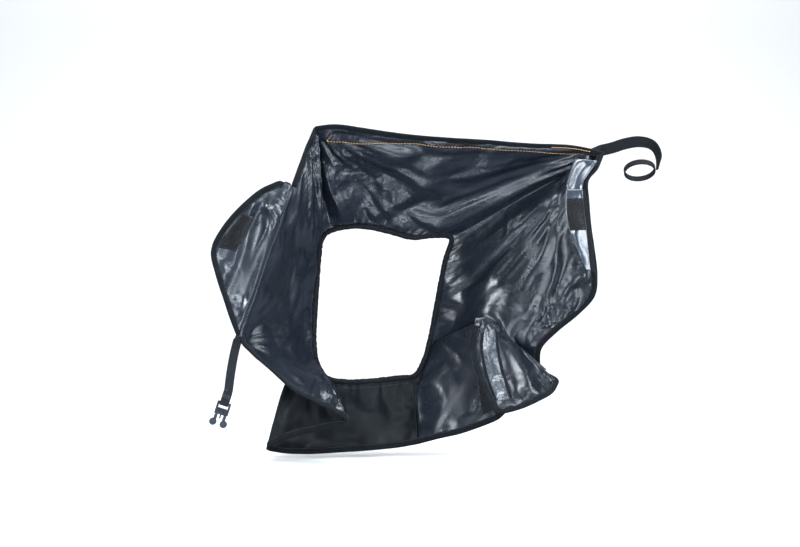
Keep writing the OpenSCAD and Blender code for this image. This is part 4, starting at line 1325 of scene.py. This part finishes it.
def hem_row():
    """the row beside the hem, on both faces of the cloth"""
    parts = Parts()
    for sheet, start, end in ((main, 0.012, 0.60), (main, 0.60, 0.985), (left, 0.34, 0.66),
                              (bottom, 0.06, 0.97)):
        u = np.linspace(start, end, 160)
        width = np.linalg.norm(sheet.point(u, 1.0) - sheet.point(u, 0.8), axis=1) * 5
        v = 1 - 6.2 / np.maximum(width, 30)
        for face in (1, -1):
            stitches(parts, sheet.point(u, v, face * 0.42), face * sheet.normal(u, v),
                     (2.2, 1.0, 0.27))
    register(parts.build("hem_seam_stitches", M_black), "black_thread", "cover")


hem_row()


# ------------------------------------------------------------------ top channel
def locate(sheet, points):
    """the (u, v) of layout points [x, z] on a sheet: nearest grid point, then Newton steps"""
    grid = sheet.layout[..., :2]
    rows, columns = grid.shape[0] - 1, grid.shape[1] - 1
    found = []
    for x, z in points:
        distance = (grid[..., 0] - x) ** 2 + (grid[..., 1] - z) ** 2
        nearest = np.unravel_index(int(np.argmin(distance)), distance.shape)
        row, column = float(nearest[0]), float(nearest[1])
        for _ in range(6):
            i, j = min(max(int(row), 0), rows - 1), min(max(int(column), 0), columns - 1)
            s, t = row - i, column - j
            p00, p01, p10, p11 = grid[i, j], grid[i, j + 1], grid[i + 1, j], grid[i + 1, j + 1]
            here = (p00 * (1 - s) + p10 * s) * (1 - t) + (p01 * (1 - s) + p11 * s) * t
            du = (p01 - p00) * (1 - s) + (p11 - p10) * s
            dv = (p10 - p00) * (1 - t) + (p11 - p01) * t
            error = np.array([x, z]) - here
            area = du[0] * dv[1] - du[1] * dv[0]
            if abs(area) < 1e-9:
                break
            column_step = (error[0] * dv[1] - error[1] * dv[0]) / area
            row_step = (du[0] * error[1] - du[1] * error[0]) / area
            row = min(max(row + row_step, 0.0), float(rows))
            column = min(max(column + column_step, 0.0), float(columns))
        found.append((column / columns, row / rows))
    return np.array(found)


def main_path(points, count):
    """(u, v) on the main sheet of an even curve through layout points [x, z]"""
    curve = sample(points, np.linspace(0, 1, count * 4))
    lengths_to = arc_length(curve)
    even = interp(np.linspace(0, lengths_to[-1], count), lengths_to, curve)
    return locate(main, even).T


CHANNEL_ROW = [(-84, 360.3), (5.8, 358.5), (46, 356.5), (97.8, 353.3), (155.3, 350.3),
               (203.6, 345.6)]
# rows of orange thread: points [x, z] and the number of samples
CHANNEL_STITCHING = [
    (CHANNEL_ROW, 240),
    ([CHANNEL_ROW[0], (-80.5, 366), (-76.5, 372.5)], 14),
    ([CHANNEL_ROW[-1], (207.5, 347.6), (211.5, 349.6)], 10),
]


def top_channel():
    """raised strip between the top rim and the orange row"""
    u, row_v = main_path([(-100, 360.6)] + CHANNEL_ROW + [(213, 344.4)], 260)
    upper_v, lower_v = 0.022, row_v + 0.006
    share = np.linspace(0, 1, len(u))
    ends = smooth(share / 0.03) * smooth((1 - share) / 0.03)
    rows = []
    for k in np.linspace(0, 1, 12):
        arch = math.sin(math.pi * k)
        lift = 0.35 + 0.75 * (arch ** 0.6) * ends
        lift = lift + 0.18 * noise_xyz(u / TOP_SHARE * 95, k * 2, 3) * ends * arch
        rows.append(main.point(u, upper_v + (lower_v - upper_v) * k, lift))
    parts = Parts()
    parts.grid(np.stack(rows))
    register(cloth_piece("top_channel_facing", parts, M_fabric, 0.4), "coated_fabric", "cover",
             "top_facing")
    parts = Parts()
    for points, count in CHANNEL_STITCHING:
        u, v = main_path(points, count)
        stitches(parts, main.point(u, v, 0.95), main.normal(u, v), (2.7, 0.7, 0.34))
    register(parts.build("top_channel_stitches", M_orange), "orange_thread", "cover",
             "top_hem_stitching")


top_channel()


# ------------------------------------------------------------------ hook and loop pieces
# a surface here is a function of u, v and lift in mm
def patch(name, surface, cells, thickness, lift, fuzz, seed, material):
    """a sewn-on rectangle: crisp edge, slightly raised, with its own surface relief"""
    columns, rows = cells
    u, v = np.meshgrid(np.linspace(0, 1, columns + 1), np.linspace(0, 1, rows + 1))
    top = surface(u, v, lift)
    to_edge = np.minimum(np.minimum(u, 1 - u) * columns, np.minimum(v, 1 - v) * rows)
    relief = fuzz * noise(top / 1.5 + seed) + 0.5 * fuzz * noise(top / 0.8 + seed + 9)
    top = top + front_normals(top) * (relief * np.clip(to_edge / 2, 0, 1))[..., None]
    parts = Parts()
    parts.grid(top)
    obj = parts.build(name, material)
    solidify(obj, thickness, 1.0 if faces_rear(top) else -1.0)
    return obj


def inset(surface, margin_u, margin_v, lift):
    return lambda u, v, more: surface(u * (1 - 2 * margin_u) + margin_u,
                                      v * (1 - 2 * margin_v) + margin_v, lift + more)


def pile(parts, surface, cells, height, radius, seed, hooked=False):
    """small arcs or hooks of yarn standing on a patch"""
    rand = np.random.RandomState(seed).rand
    jitter = 0.15 if hooked else 0.5
    columns, rows = cells
    faces = yarn_faces(5, 4)
    for j in range(rows):
        for i in range(columns):
            u = (i + 0.5 + jitter * (rand() - 0.5)) / columns
            v = (j + 0.5 + jitter * (rand() - 0.5)) / rows
            foot = surface(vec(u), vec(v), 0.0)
            up = surface(vec(u), vec(v), 1.0) - foot
            along = unit(surface(vec(min(u + 0.02, 1)), vec(v), 0.0) - foot)
            side = np.cross(up, along)
            angle = 0.25 * (rand() - 0.5) if hooked else rand() * math.pi
            lean = along * math.cos(angle) + side * math.sin(angle)
            width = height * (0.55 + 0.3 * rand())
            if hooked:
                # share of the width along the lean, share of the height
                bends = [(0, 0.6), (0.2, 1), (0.7, 0.85), (0.8, 0.5)]
                points = [foot - up * 0.2] + [foot + lean * width * a + up * height * b
                                              for a, b in bends]
            else:
                tall = height * (0.75 + 0.5 * rand())
                points = [foot - lean * width / 2 - up * 0.2,
                          foot - lean * width * 0.45 + up * tall * 0.7,
                          foot + up * tall,
                          foot + lean * width * 0.45 + up * tall * 0.7,
                          foot + lean * width / 2 - up * 0.2]
            flat = np.cross(lean, up) * radius
            ridge = up * radius * 0.9 + lean * radius * 0.3
            section = np.stack([flat, ridge, -flat, -ridge])
            parts.add(np.array(points)[:, None] + section[None], faces)


def stitch_rows(parts, surface, rows, count, lift, size):
    """rows of stitches on a surface, each row from and to a share of u and of v"""
    for u_ends, v_ends in rows:
        u, v = np.linspace(*u_ends, count), np.linspace(*v_ends, count)
        curve = surface(u, v, lift)
        stitches(parts, curve, surface(u, v, lift + 1) - curve, size)


def flap_patch(u, v, lift):
    """the patch lies square on the flap, so its v limits slope with u"""
    u = 0.27 + 0.21 * np.asarray(u, float)
    start, end = 0.262 - 0.272 * u - 0.012, 0.557 - 0.286 * u
    return flap.point(u, start + (end - start) * np.asarray(v, float), lift)


register(patch("side_flap_loop_patch", flap_patch, (46, 34), thickness=1.0, lift=1.25, fuzz=0.22,
               seed=1, material=M_loop), "loop_pile", "side_flap", "left_loop_patch")
flap_yarn = Parts()
pile(flap_yarn, inset(flap_patch, 0.03, 0.03, 1.2), (40, 30), height=0.95, radius=0.10, seed=3)
register(flap_yarn.build("side_flap_loop_yarn", M_loop), "loop_pile", "side_flap")
flap_thread = Parts()
stitch_rows(flap_thread, flap_patch,
            [((0.03, 0.97), (0.04, 0.04)), ((0.03, 0.97), (0.96, 0.96)),
             ((0.03, 0.03), (0.04, 0.96)), ((0.97, 0.97), (0.04, 0.96))],
            count=40, lift=1.5, size=(2.2, 0.8, 0.26))
register(flap_thread.build("side_flap_patch_stitches", M_black), "black_thread", "side_flap")


# loop tape under the fly, on the lower right panel
def loop_tape(u, v, lift):
    return lower.point(0.60 + 0.20 * u, 0.10 + 0.75 * v, lift)


register(patch("fly_loop_tape_pile", loop_tape, (26, 100), thickness=0.8, lift=1.0, fuzz=0.18,
               seed=2, material=M_loop), "loop_pile", "cover", "fly_loop_tape")


def fly_tape(u, v, lift):
    """a strip 15 mm wide along the fly, 10.3 mm in from its free edge"""
    u, v = np.broadcast_arrays(np.asarray(u, float), np.asarray(v, float))
    v = 0.12 + 0.72 * v
    width = np.linalg.norm(fly.point(1.0, v) - fly.point(0.0, v), axis=-1)
    return fly.point((10.3 + 15.0 * u) / width, v, lift)


def fly_tape_edge_strip(start, end):
    """the part of the fly's tape between two shares of its width"""
    return lambda u, v, lift: fly_tape(start + (end - start) * u, 0.005 + 0.99 * v, lift)


# dark strips along both edges of the hook tape
for i, (start, end) in enumerate(((-0.10, 0.07), (0.90, 1.12))):
    register(patch("fly_tape_dark_strip_%d" % i, fly_tape_edge_strip(start, end), (5, 96), thickness=0.75,
                   lift=1.05, fuzz=0.05, seed=9 + i, material=M_tape), "hook_tape", "fly")
register(patch("fly_hook_tape_base", fly_tape, (20, 96), thickness=0.7, lift=0.95, fuzz=0.10,
               seed=4, material=M_hook), "hook_tape", "fly", "fly_hook_tape")
hooks = Parts()
pile(hooks, inset(fly_tape, 0.15, 0.03, 0.95), (9, 58), height=0.75, radius=0.13, seed=5,
     hooked=True)
register(hooks.build("fly_hooks", M_hook), "hook_tape", "fly")
fly_thread = Parts()
stitch_rows(fly_thread, fly_tape,
            [((0.08, 0.08), (0.01, 0.99)), ((0.92, 0.92), (0.01, 0.99)),
             ((0.08, 0.92), (0.015, 0.015))], count=90, lift=1.15, size=(2.3, 0.8, 0.3))
register(fly_thread.build("fly_tape_stitches", M_black), "black_thread", "fly", "fly_stitching")


# patch on the closure tab
def tab_patch(u, v, lift):
    return tab.point(0.11 + 0.39 * u, 0.03 + 0.93 * v, lift)


register(patch("tab_hook_pad", tab_patch, (60, 24), thickness=0.9, lift=1.45, fuzz=0.16, seed=6,
               material=M_loop), "hook_tape", "tab", "tab_hook_patch")
tab_yarn = Parts()
pile(tab_yarn, inset(tab_patch, 0.03, 0.05, 1.4), (36, 13), height=0.8, radius=0.11, seed=7)
stitch_rows(tab_yarn, tab_patch, [((0.03, 0.97), (0.07, 0.07)), ((0.03, 0.97), (0.93, 0.93))],
            count=40, lift=1.7, size=(2.2, 0.8, 0.26))
register(tab_yarn.build("tab_pad_yarn", M_loop), "loop_pile", "tab")

# ------------------------------------------------------------------ webbing
RIBBON_STEP = 0.5


def ribbon(name, curve, directions, width, thickness, material, rib, selvedge, pitch=1.6,
           cells=14, closed=False):
    """flat woven tape along a curve, its width along directions;
    rib: height of the cross ribs, pitch: their spacing, selvedge: extra height at the edges"""
    lengths_to = arc_length(curve)
    count = int(lengths_to[-1] / RIBBON_STEP) + 1
    along = np.linspace(0, lengths_to[-1], count)
    curve = interp(along, lengths_to, curve)
    tangent = np.gradient(curve, axis=0)
    if closed:
        tangent[0] = tangent[-1] = curve[1] - curve[-2]
    tangent = unit(tangent)
    side = across(interp(along, lengths_to, directions), tangent)
    normal = np.cross(tangent, side)
    x = np.linspace(-1, 1, cells + 1)
    round_off = np.sqrt(np.clip(1 - np.abs(x) ** 10, 0, 1))
    half = ((thickness / 2) * (0.25 + 0.75 * round_off)
            + selvedge * np.exp(-((np.abs(x) - 0.88) / 0.08) ** 2))
    phase = (along[:, None] / pitch + (np.abs(x) * 1.2)[None, :]) * 2 * math.pi
    ribs = rib * np.sin(phase) * round_off[None, :]
    warp = rib * 0.6 * np.cos(x * math.pi * 6)[None, :] * round_off[None, :]
    middle = curve[:, None] + side[:, None] * (x * width / 2)[None, :, None]
    upper = middle + normal[:, None] * (half[None, :] + ribs + warp)[..., None]
    under = middle - normal[:, None] * (half[None, :] + warp)[..., None]
    points = np.concatenate([upper, under[:, ::-1]], axis=1)
    offsets = np.concatenate([x, x[::-1]]) * width / 2
    uv = np.stack(np.broadcast_arrays(along[:, None], offsets[None, :] + width), -1)
    parts = Parts()
    parts.add(points, tube_faces(count, points.shape[1], closed), uv)
    obj = parts.build(name, material)
    recalc_normals(obj)
    return obj


# radius of the bars the webbing turns round, its clearance from them, its thickness and width
BAR, BAR_GAP, WEB_THICK, WEB_WIDTH = 1.6, 0.1, 1.1, 10.0
WRAP = BAR + BAR_GAP + WEB_THICK / 2  # from a bar's axis to the middle of the webbing
WEB_RIB = 0.09
PLUG_X, PLUG_Z, PLUG_DEPTH = -202, 59, -50
SOCKET_X, SOCKET_Z, SOCKET_DEPTH = 150, 95, 22
PLUG_LEAN = math.radians(18)          # the plug leans to the right, turned about Y
plug_at = place(vec(PLUG_X, PLUG_Z, PLUG_DEPTH))
socket_at = place(vec(SOCKET_X, SOCKET_Z, SOCKET_DEPTH))
plug_turn = np.array([[math.cos(PLUG_LEAN), 0, math.sin(PLUG_LEAN)], [0, 1, 0],
                      [-math.sin(PLUG_LEAN), 0, math.cos(PLUG_LEAN)]])


def on_plug(points):
    return np.asarray(points, float) @ plug_turn.T + plug_at


def on_socket(points):
    return np.asarray(points, float) + socket_at


def buckle_webbing():
    """rises from the plug, bends to the flap's fold and is caught under the binding there"""
    depth = PLUG_DEPTH - WRAP
    stations = place(vec([-197.1, 74.9, depth], [-195.5, 88, depth], [-193.2, 103, -51.5],
                         [-190.5, 117, -49.5], [-187, 131.5, -46.5]))
    stations = np.vstack([on_plug(vec(0, -WRAP - 0.02, 14.7))[None], stations])
    curve = sample(stations, np.linspace(0, 1, 66))
    ahead = unit(curve[-1] - curve[-3])
    # the caught end: distance on, then shift along X and Y
    end = [curve[-1] + ahead * on + vec(dx, dy, 0)
           for on, dx, dy in ((1.5, 0.4, 0.6), (3.4, 1.0, 1.8), (6.5, 1.4, 3.2), (9.5, 1.8, 3.8))]
    curve = np.vstack([curve] + end)
    obj = ribbon("buckle_webbing", curve, np.tile(vec(1, 0, 0.28), (len(curve), 1)),
                 WEB_WIDTH, WEB_THICK, M_web, rib=WEB_RIB, selvedge=0.08)
    register(obj, "webbing", "strap", "buckle_strap")


def turned_end(name, to_frame, front_height, back_height, body, replaced):
    """webbing turned round a bar: front leg, half round, back leg"""
    side_view = [(-WRAP, z) for z in np.linspace(front_height, 0.3, 18)]
    side_view += [(WRAP * math.cos(k), WRAP * math.sin(k))
                  for k in np.linspace(math.pi, 2 * math.pi, 26)]
    side_view += [(WRAP, z) for z in np.linspace(0.3, back_height, 16)]
    curve = to_frame([(0.0, y, z) for y, z in side_view])
    directions = (to_frame(np.tile(vec(1, 0, 0), (len(curve), 1)))
                  - to_frame(np.zeros((len(curve), 3))))
    obj = ribbon(name, curve, directions, WEB_WIDTH, WEB_THICK, M_web, rib=WEB_RIB, selvedge=0.06)
    register(obj, "webbing", body, replaced)


def strap_bar_tack(rows=5, pitch=0.9, first_z=6.5, half_width=4.3, samples=24):
    """wavering rows of thread across both faces of the strap's turned end"""
    parts = Parts()
    for k in range(rows):
        for face in (-1, 1):
            y = face * (BAR + BAR_GAP + WEB_THICK) + face * 0.08
            z = first_z + k * pitch + 0.35 * np.sin(np.linspace(0, 9, samples))
            x = np.linspace(-half_width, half_width, samples)
            curve = on_plug(np.stack([x, np.full(samples, y), z], -1))
            normals = on_plug(np.tile(vec(0, face, 0), (samples, 1))) - plug_at
            stitches(parts, curve, normals, (1.9, 0.25, 0.27))
    register(parts.build("strap_bar_tack", M_black), "black_thread", "strap", "strap_bartack")


def socket_webbing():
    depth = SOCKET_DEPTH - WRAP
    stations = place(vec([SOCKET_X, 106.7, depth + 0.02], [SOCKET_X, 110, depth - 0.3],
                         [SOCKET_X, 116, 18.6], [SOCKET_X, 124, 15]))
    curve = sample(stations, np.linspace(0, 1, 36))
    curve = np.vstack([curve, curve[-1] + (curve[-1] - curve[-2]) * 3 + vec(0, -0.8, 0)])
    obj = ribbon("socket_webbing", curve, np.tile(vec(1, 0, 0), (len(curve), 1)),
                 WEB_WIDTH, WEB_THICK, M_web, rib=WEB_RIB, selvedge=0.06)
    register(obj, "webbing", "socket_hanger", "socket_strap")


buckle_webbing()
turned_end("strap_turned_end", on_plug, 15, 13, "strap", "strap_loop")
strap_bar_tack()
socket_webbing()
turned_end("socket_turned_end", on_socket, 12, 10, "socket_hanger", "socket_loop")

# ------------------------------------------------------------------ hand loop
BAND_THICK, BAND_RIB, BAND_PITCH = 1.5, 0.10, 1.5
# stations of the band and the direction of its width at each
BAND_LINE = vec([231, 350, -4], [244, 353, -7], [258, 357.5, -9], [273, 360, -9], [286, 358, -5],
                [293.5, 352, 0], [297, 344, 3], [296.8, 335, 4], [295.6, 328, 4])
BAND_WIDTH_DIRECTION = vec([-0.25, 0, 1], [-0.25, -0.05, 1], [-0.25, -0.15, 1], [0, -0.3, 1],
                           [0.3, -0.6, 0.8], [0.45, -0.9, 0.4], [0.4, -0.95, 0.1],
                           [0.1, -1, 0.1], [0, -1, 0.2])
# the end sewn in behind the corner
BAND_SEWN_END = vec([215, 342.6, -10.0], [220, 345, -9.4], [225, 347.3, -7.4])
RING_INNER_RADIUS, RING_WIDTH = 16.5, 7.0
RING_TILT = math.radians(150)         # turned about X


def hand_band():
    share = np.linspace(0, 1, 90)
    curve = np.vstack([place(BAND_SEWN_END), sample(place(BAND_LINE), share)])
    directions = np.vstack([BAND_WIDTH_DIRECTION[:1]] * 3 + [sample(BAND_WIDTH_DIRECTION, share)])
    obj = ribbon("hand_band_elastic", curve, directions, 13, BAND_THICK, M_band, rib=BAND_RIB,
                 selvedge=0.12, pitch=BAND_PITCH, cells=26)
    register(obj, "elastic_band", "hand_loop", "hand_band")


def hand_ring():
    angles = np.linspace(0, 2 * math.pi, 181)[:-1]
    radius = RING_INNER_RADIUS + BAND_THICK / 2
    cos, sin = math.cos(RING_TILT), math.sin(RING_TILT)
    turn = np.array([[1, 0, 0], [0, cos, -sin], [0, sin, cos]])
    flat = np.stack([radius * np.cos(angles), radius * np.sin(angles), 0 * angles], -1)
    curve = flat @ turn.T + place(vec(275.5, 327, 4))
    axis = vec(0, 0, 1) @ turn.T
    obj = ribbon("hand_ring_elastic", curve, np.tile(axis, (len(curve), 1)), RING_WIDTH,
                 BAND_THICK, M_band, rib=BAND_RIB, selvedge=0.1, pitch=BAND_PITCH, cells=16,
                 closed=True)
    register(obj, "elastic_band", "loop_ring", "hand_ring")


hand_band()
hand_ring()


# ------------------------------------------------------------------ pieces that keep their CAD shape
def dress(name, material):
    obj = bpy.data.objects[name]
    obj.data.materials.clear()
    obj.data.materials.append(material)
    return obj


for name in ("buckle_frame", "prong_left", "prong_right", "buckle_socket"):
    bevel = dress(name, M_plastic).modifiers.new("edge", "BEVEL")
    bevel.width = 0.00035
    bevel.segments = 3
    bevel.limit_method = "ANGLE"
    bevel.angle_limit = math.radians(35)
dress("hem_elastic", M_elastic_cord)

# ------------------------------------------------------------------ stage, in metres
FLOOR_Z = cad_box[0][2] - 0.004
FLOOR_FRONT, BEND_START, BEND_RADIUS, WALL_HEIGHT, HALF_WIDTH = -3.2, 1.2, 0.9, 3.6, 4.0


def sweep_material():
    """the camera sees a pale sweep; it throws less light back on the cloth than white would"""
    shader = Shader("studio_sweep")
    shader.base(shader.mix((0.80, 0.80, 0.80), (0.84, 0.84, 0.84),
                           shader.noise(scale=1.5, detail=2, rough=0.5)))
    shader.set(Roughness=0.9, Specular_IOR_Level=0.1)
    light_path = shader.node("ShaderNodeLightPath")
    bounce = shader.node("ShaderNodeBsdfDiffuse")
    bounce.inputs[0].default_value = (0.15, 0.172, 0.21, 1)
    choice = shader.node("ShaderNodeMixShader")
    shader.link(light_path.outputs["Is Camera Ray"], choice.inputs[0])
    shader.link(bounce.outputs[0], choice.inputs[1])
    shader.link(shader.principled.outputs[0], choice.inputs[2])
    shader.link(choice.outputs[0], shader.output.inputs[0])
    return shader.material


def sweep():
    """floor that bends up into a wall behind the cover"""
    profile = [(FLOOR_FRONT, FLOOR_Z), (BEND_START, FLOOR_Z)]
    profile += [(BEND_START + BEND_RADIUS * math.sin(k),
                 FLOOR_Z + BEND_RADIUS - BEND_RADIUS * math.cos(k))
                for k in np.linspace(0, math.pi / 2, 16)[1:]]
    profile += [(BEND_START + BEND_RADIUS, FLOOR_Z + WALL_HEIGHT)]
    profile = np.array(profile) / MM
    half = HALF_WIDTH / MM
    parts = Parts()
    parts.grid(np.stack([np.stack([np.full(len(profile), x), profile[:, 0], profile[:, 1]], -1)
                         for x in np.linspace(-half, half, 9)]))
    parts.build("studio_sweep", sweep_material())


sweep()

world = bpy.data.worlds.new("studio")
bpy.context.scene.world = world
world.use_nodes = True
world.node_tree.nodes.clear()
world_output = world.node_tree.nodes.new("ShaderNodeOutputWorld")
background = world.node_tree.nodes.new("ShaderNodeBackground")
background.inputs["Color"].default_value = (0.93, 0.96, 1.0, 1)
background.inputs["Strength"].default_value = 0.09
world.node_tree.links.new(background.outputs[0], world_output.inputs[0])

# area lights: name, location, target, size, power in watts, colour
COOL, PALE = (0.84, 0.92, 1.0), (0.86, 0.93, 1.0)
LIGHTS = [
    ("front_left_high", (-0.55, -1.30, 0.85), (0, 0, 0.04), (0.50, 0.35), 24, PALE),
    ("front_low", (0.10, -0.60, -0.165), (-0.05, 0, 0.24), (0.65, 0.30), 6.5, COOL),
    ("floor_card", (-0.045, -0.24, -0.166), (-0.06, 0, 0.22), (0.11, 0.07), 0.36,
     (0.84, 0.90, 1.0)),
    ("right_front", (1.15, -0.80, 0.40), (-0.05, 0, 0.02), (0.34, 0.8), 17, COOL),
    ("left_side", (-1.40, -0.42, 0.12), (0.1, 0, 0.02), (0.22, 0.8), 12, COOL),
    ("right_edge", (1.45, -0.22, 0.45), (-0.10, 0, 0.26), (0.16, 0.7), 7, PALE),
    ("overhead", (0.26, -0.35, 1.40), (0, 0, 0.02), (1.1, 0.5), 28, PALE),
    ("sweep_wash", (0.0, 0.3, 2.6), (0, 1.9, 0.0), (3.0, 1.6), 85, (1, 1, 1)),
]
for name, location, target, size, power, colour in LIGHTS:
    light = bpy.data.lights.new(name, "AREA")
    light.shape = "RECTANGLE"
    light.size, light.size_y = size
    light.energy = power
    light.color = colour
    lamp = bpy.data.objects.new(name, light)
    bpy.context.scene.collection.objects.link(lamp)
    lamp.location = location
    aim = Vector(target) - Vector(location)
    lamp.rotation_euler = aim.to_track_quat("-Z", "Y").to_euler()
    lamp.visible_camera = False

camera_data = bpy.data.cameras.new("camera")
camera_data.lens = 58.7
camera_data.sensor_width = 36.0
camera_data.clip_end = 50
camera = bpy.data.objects.new("camera", camera_data)
bpy.context.scene.collection.objects.link(camera)
camera.location = (0.02015, -1.55, 0.0377)
camera.rotation_euler = (math.pi / 2, 0, 0)
bpy.context.scene.camera = camera
bpy.context.scene.view_settings.view_transform = "Standard"
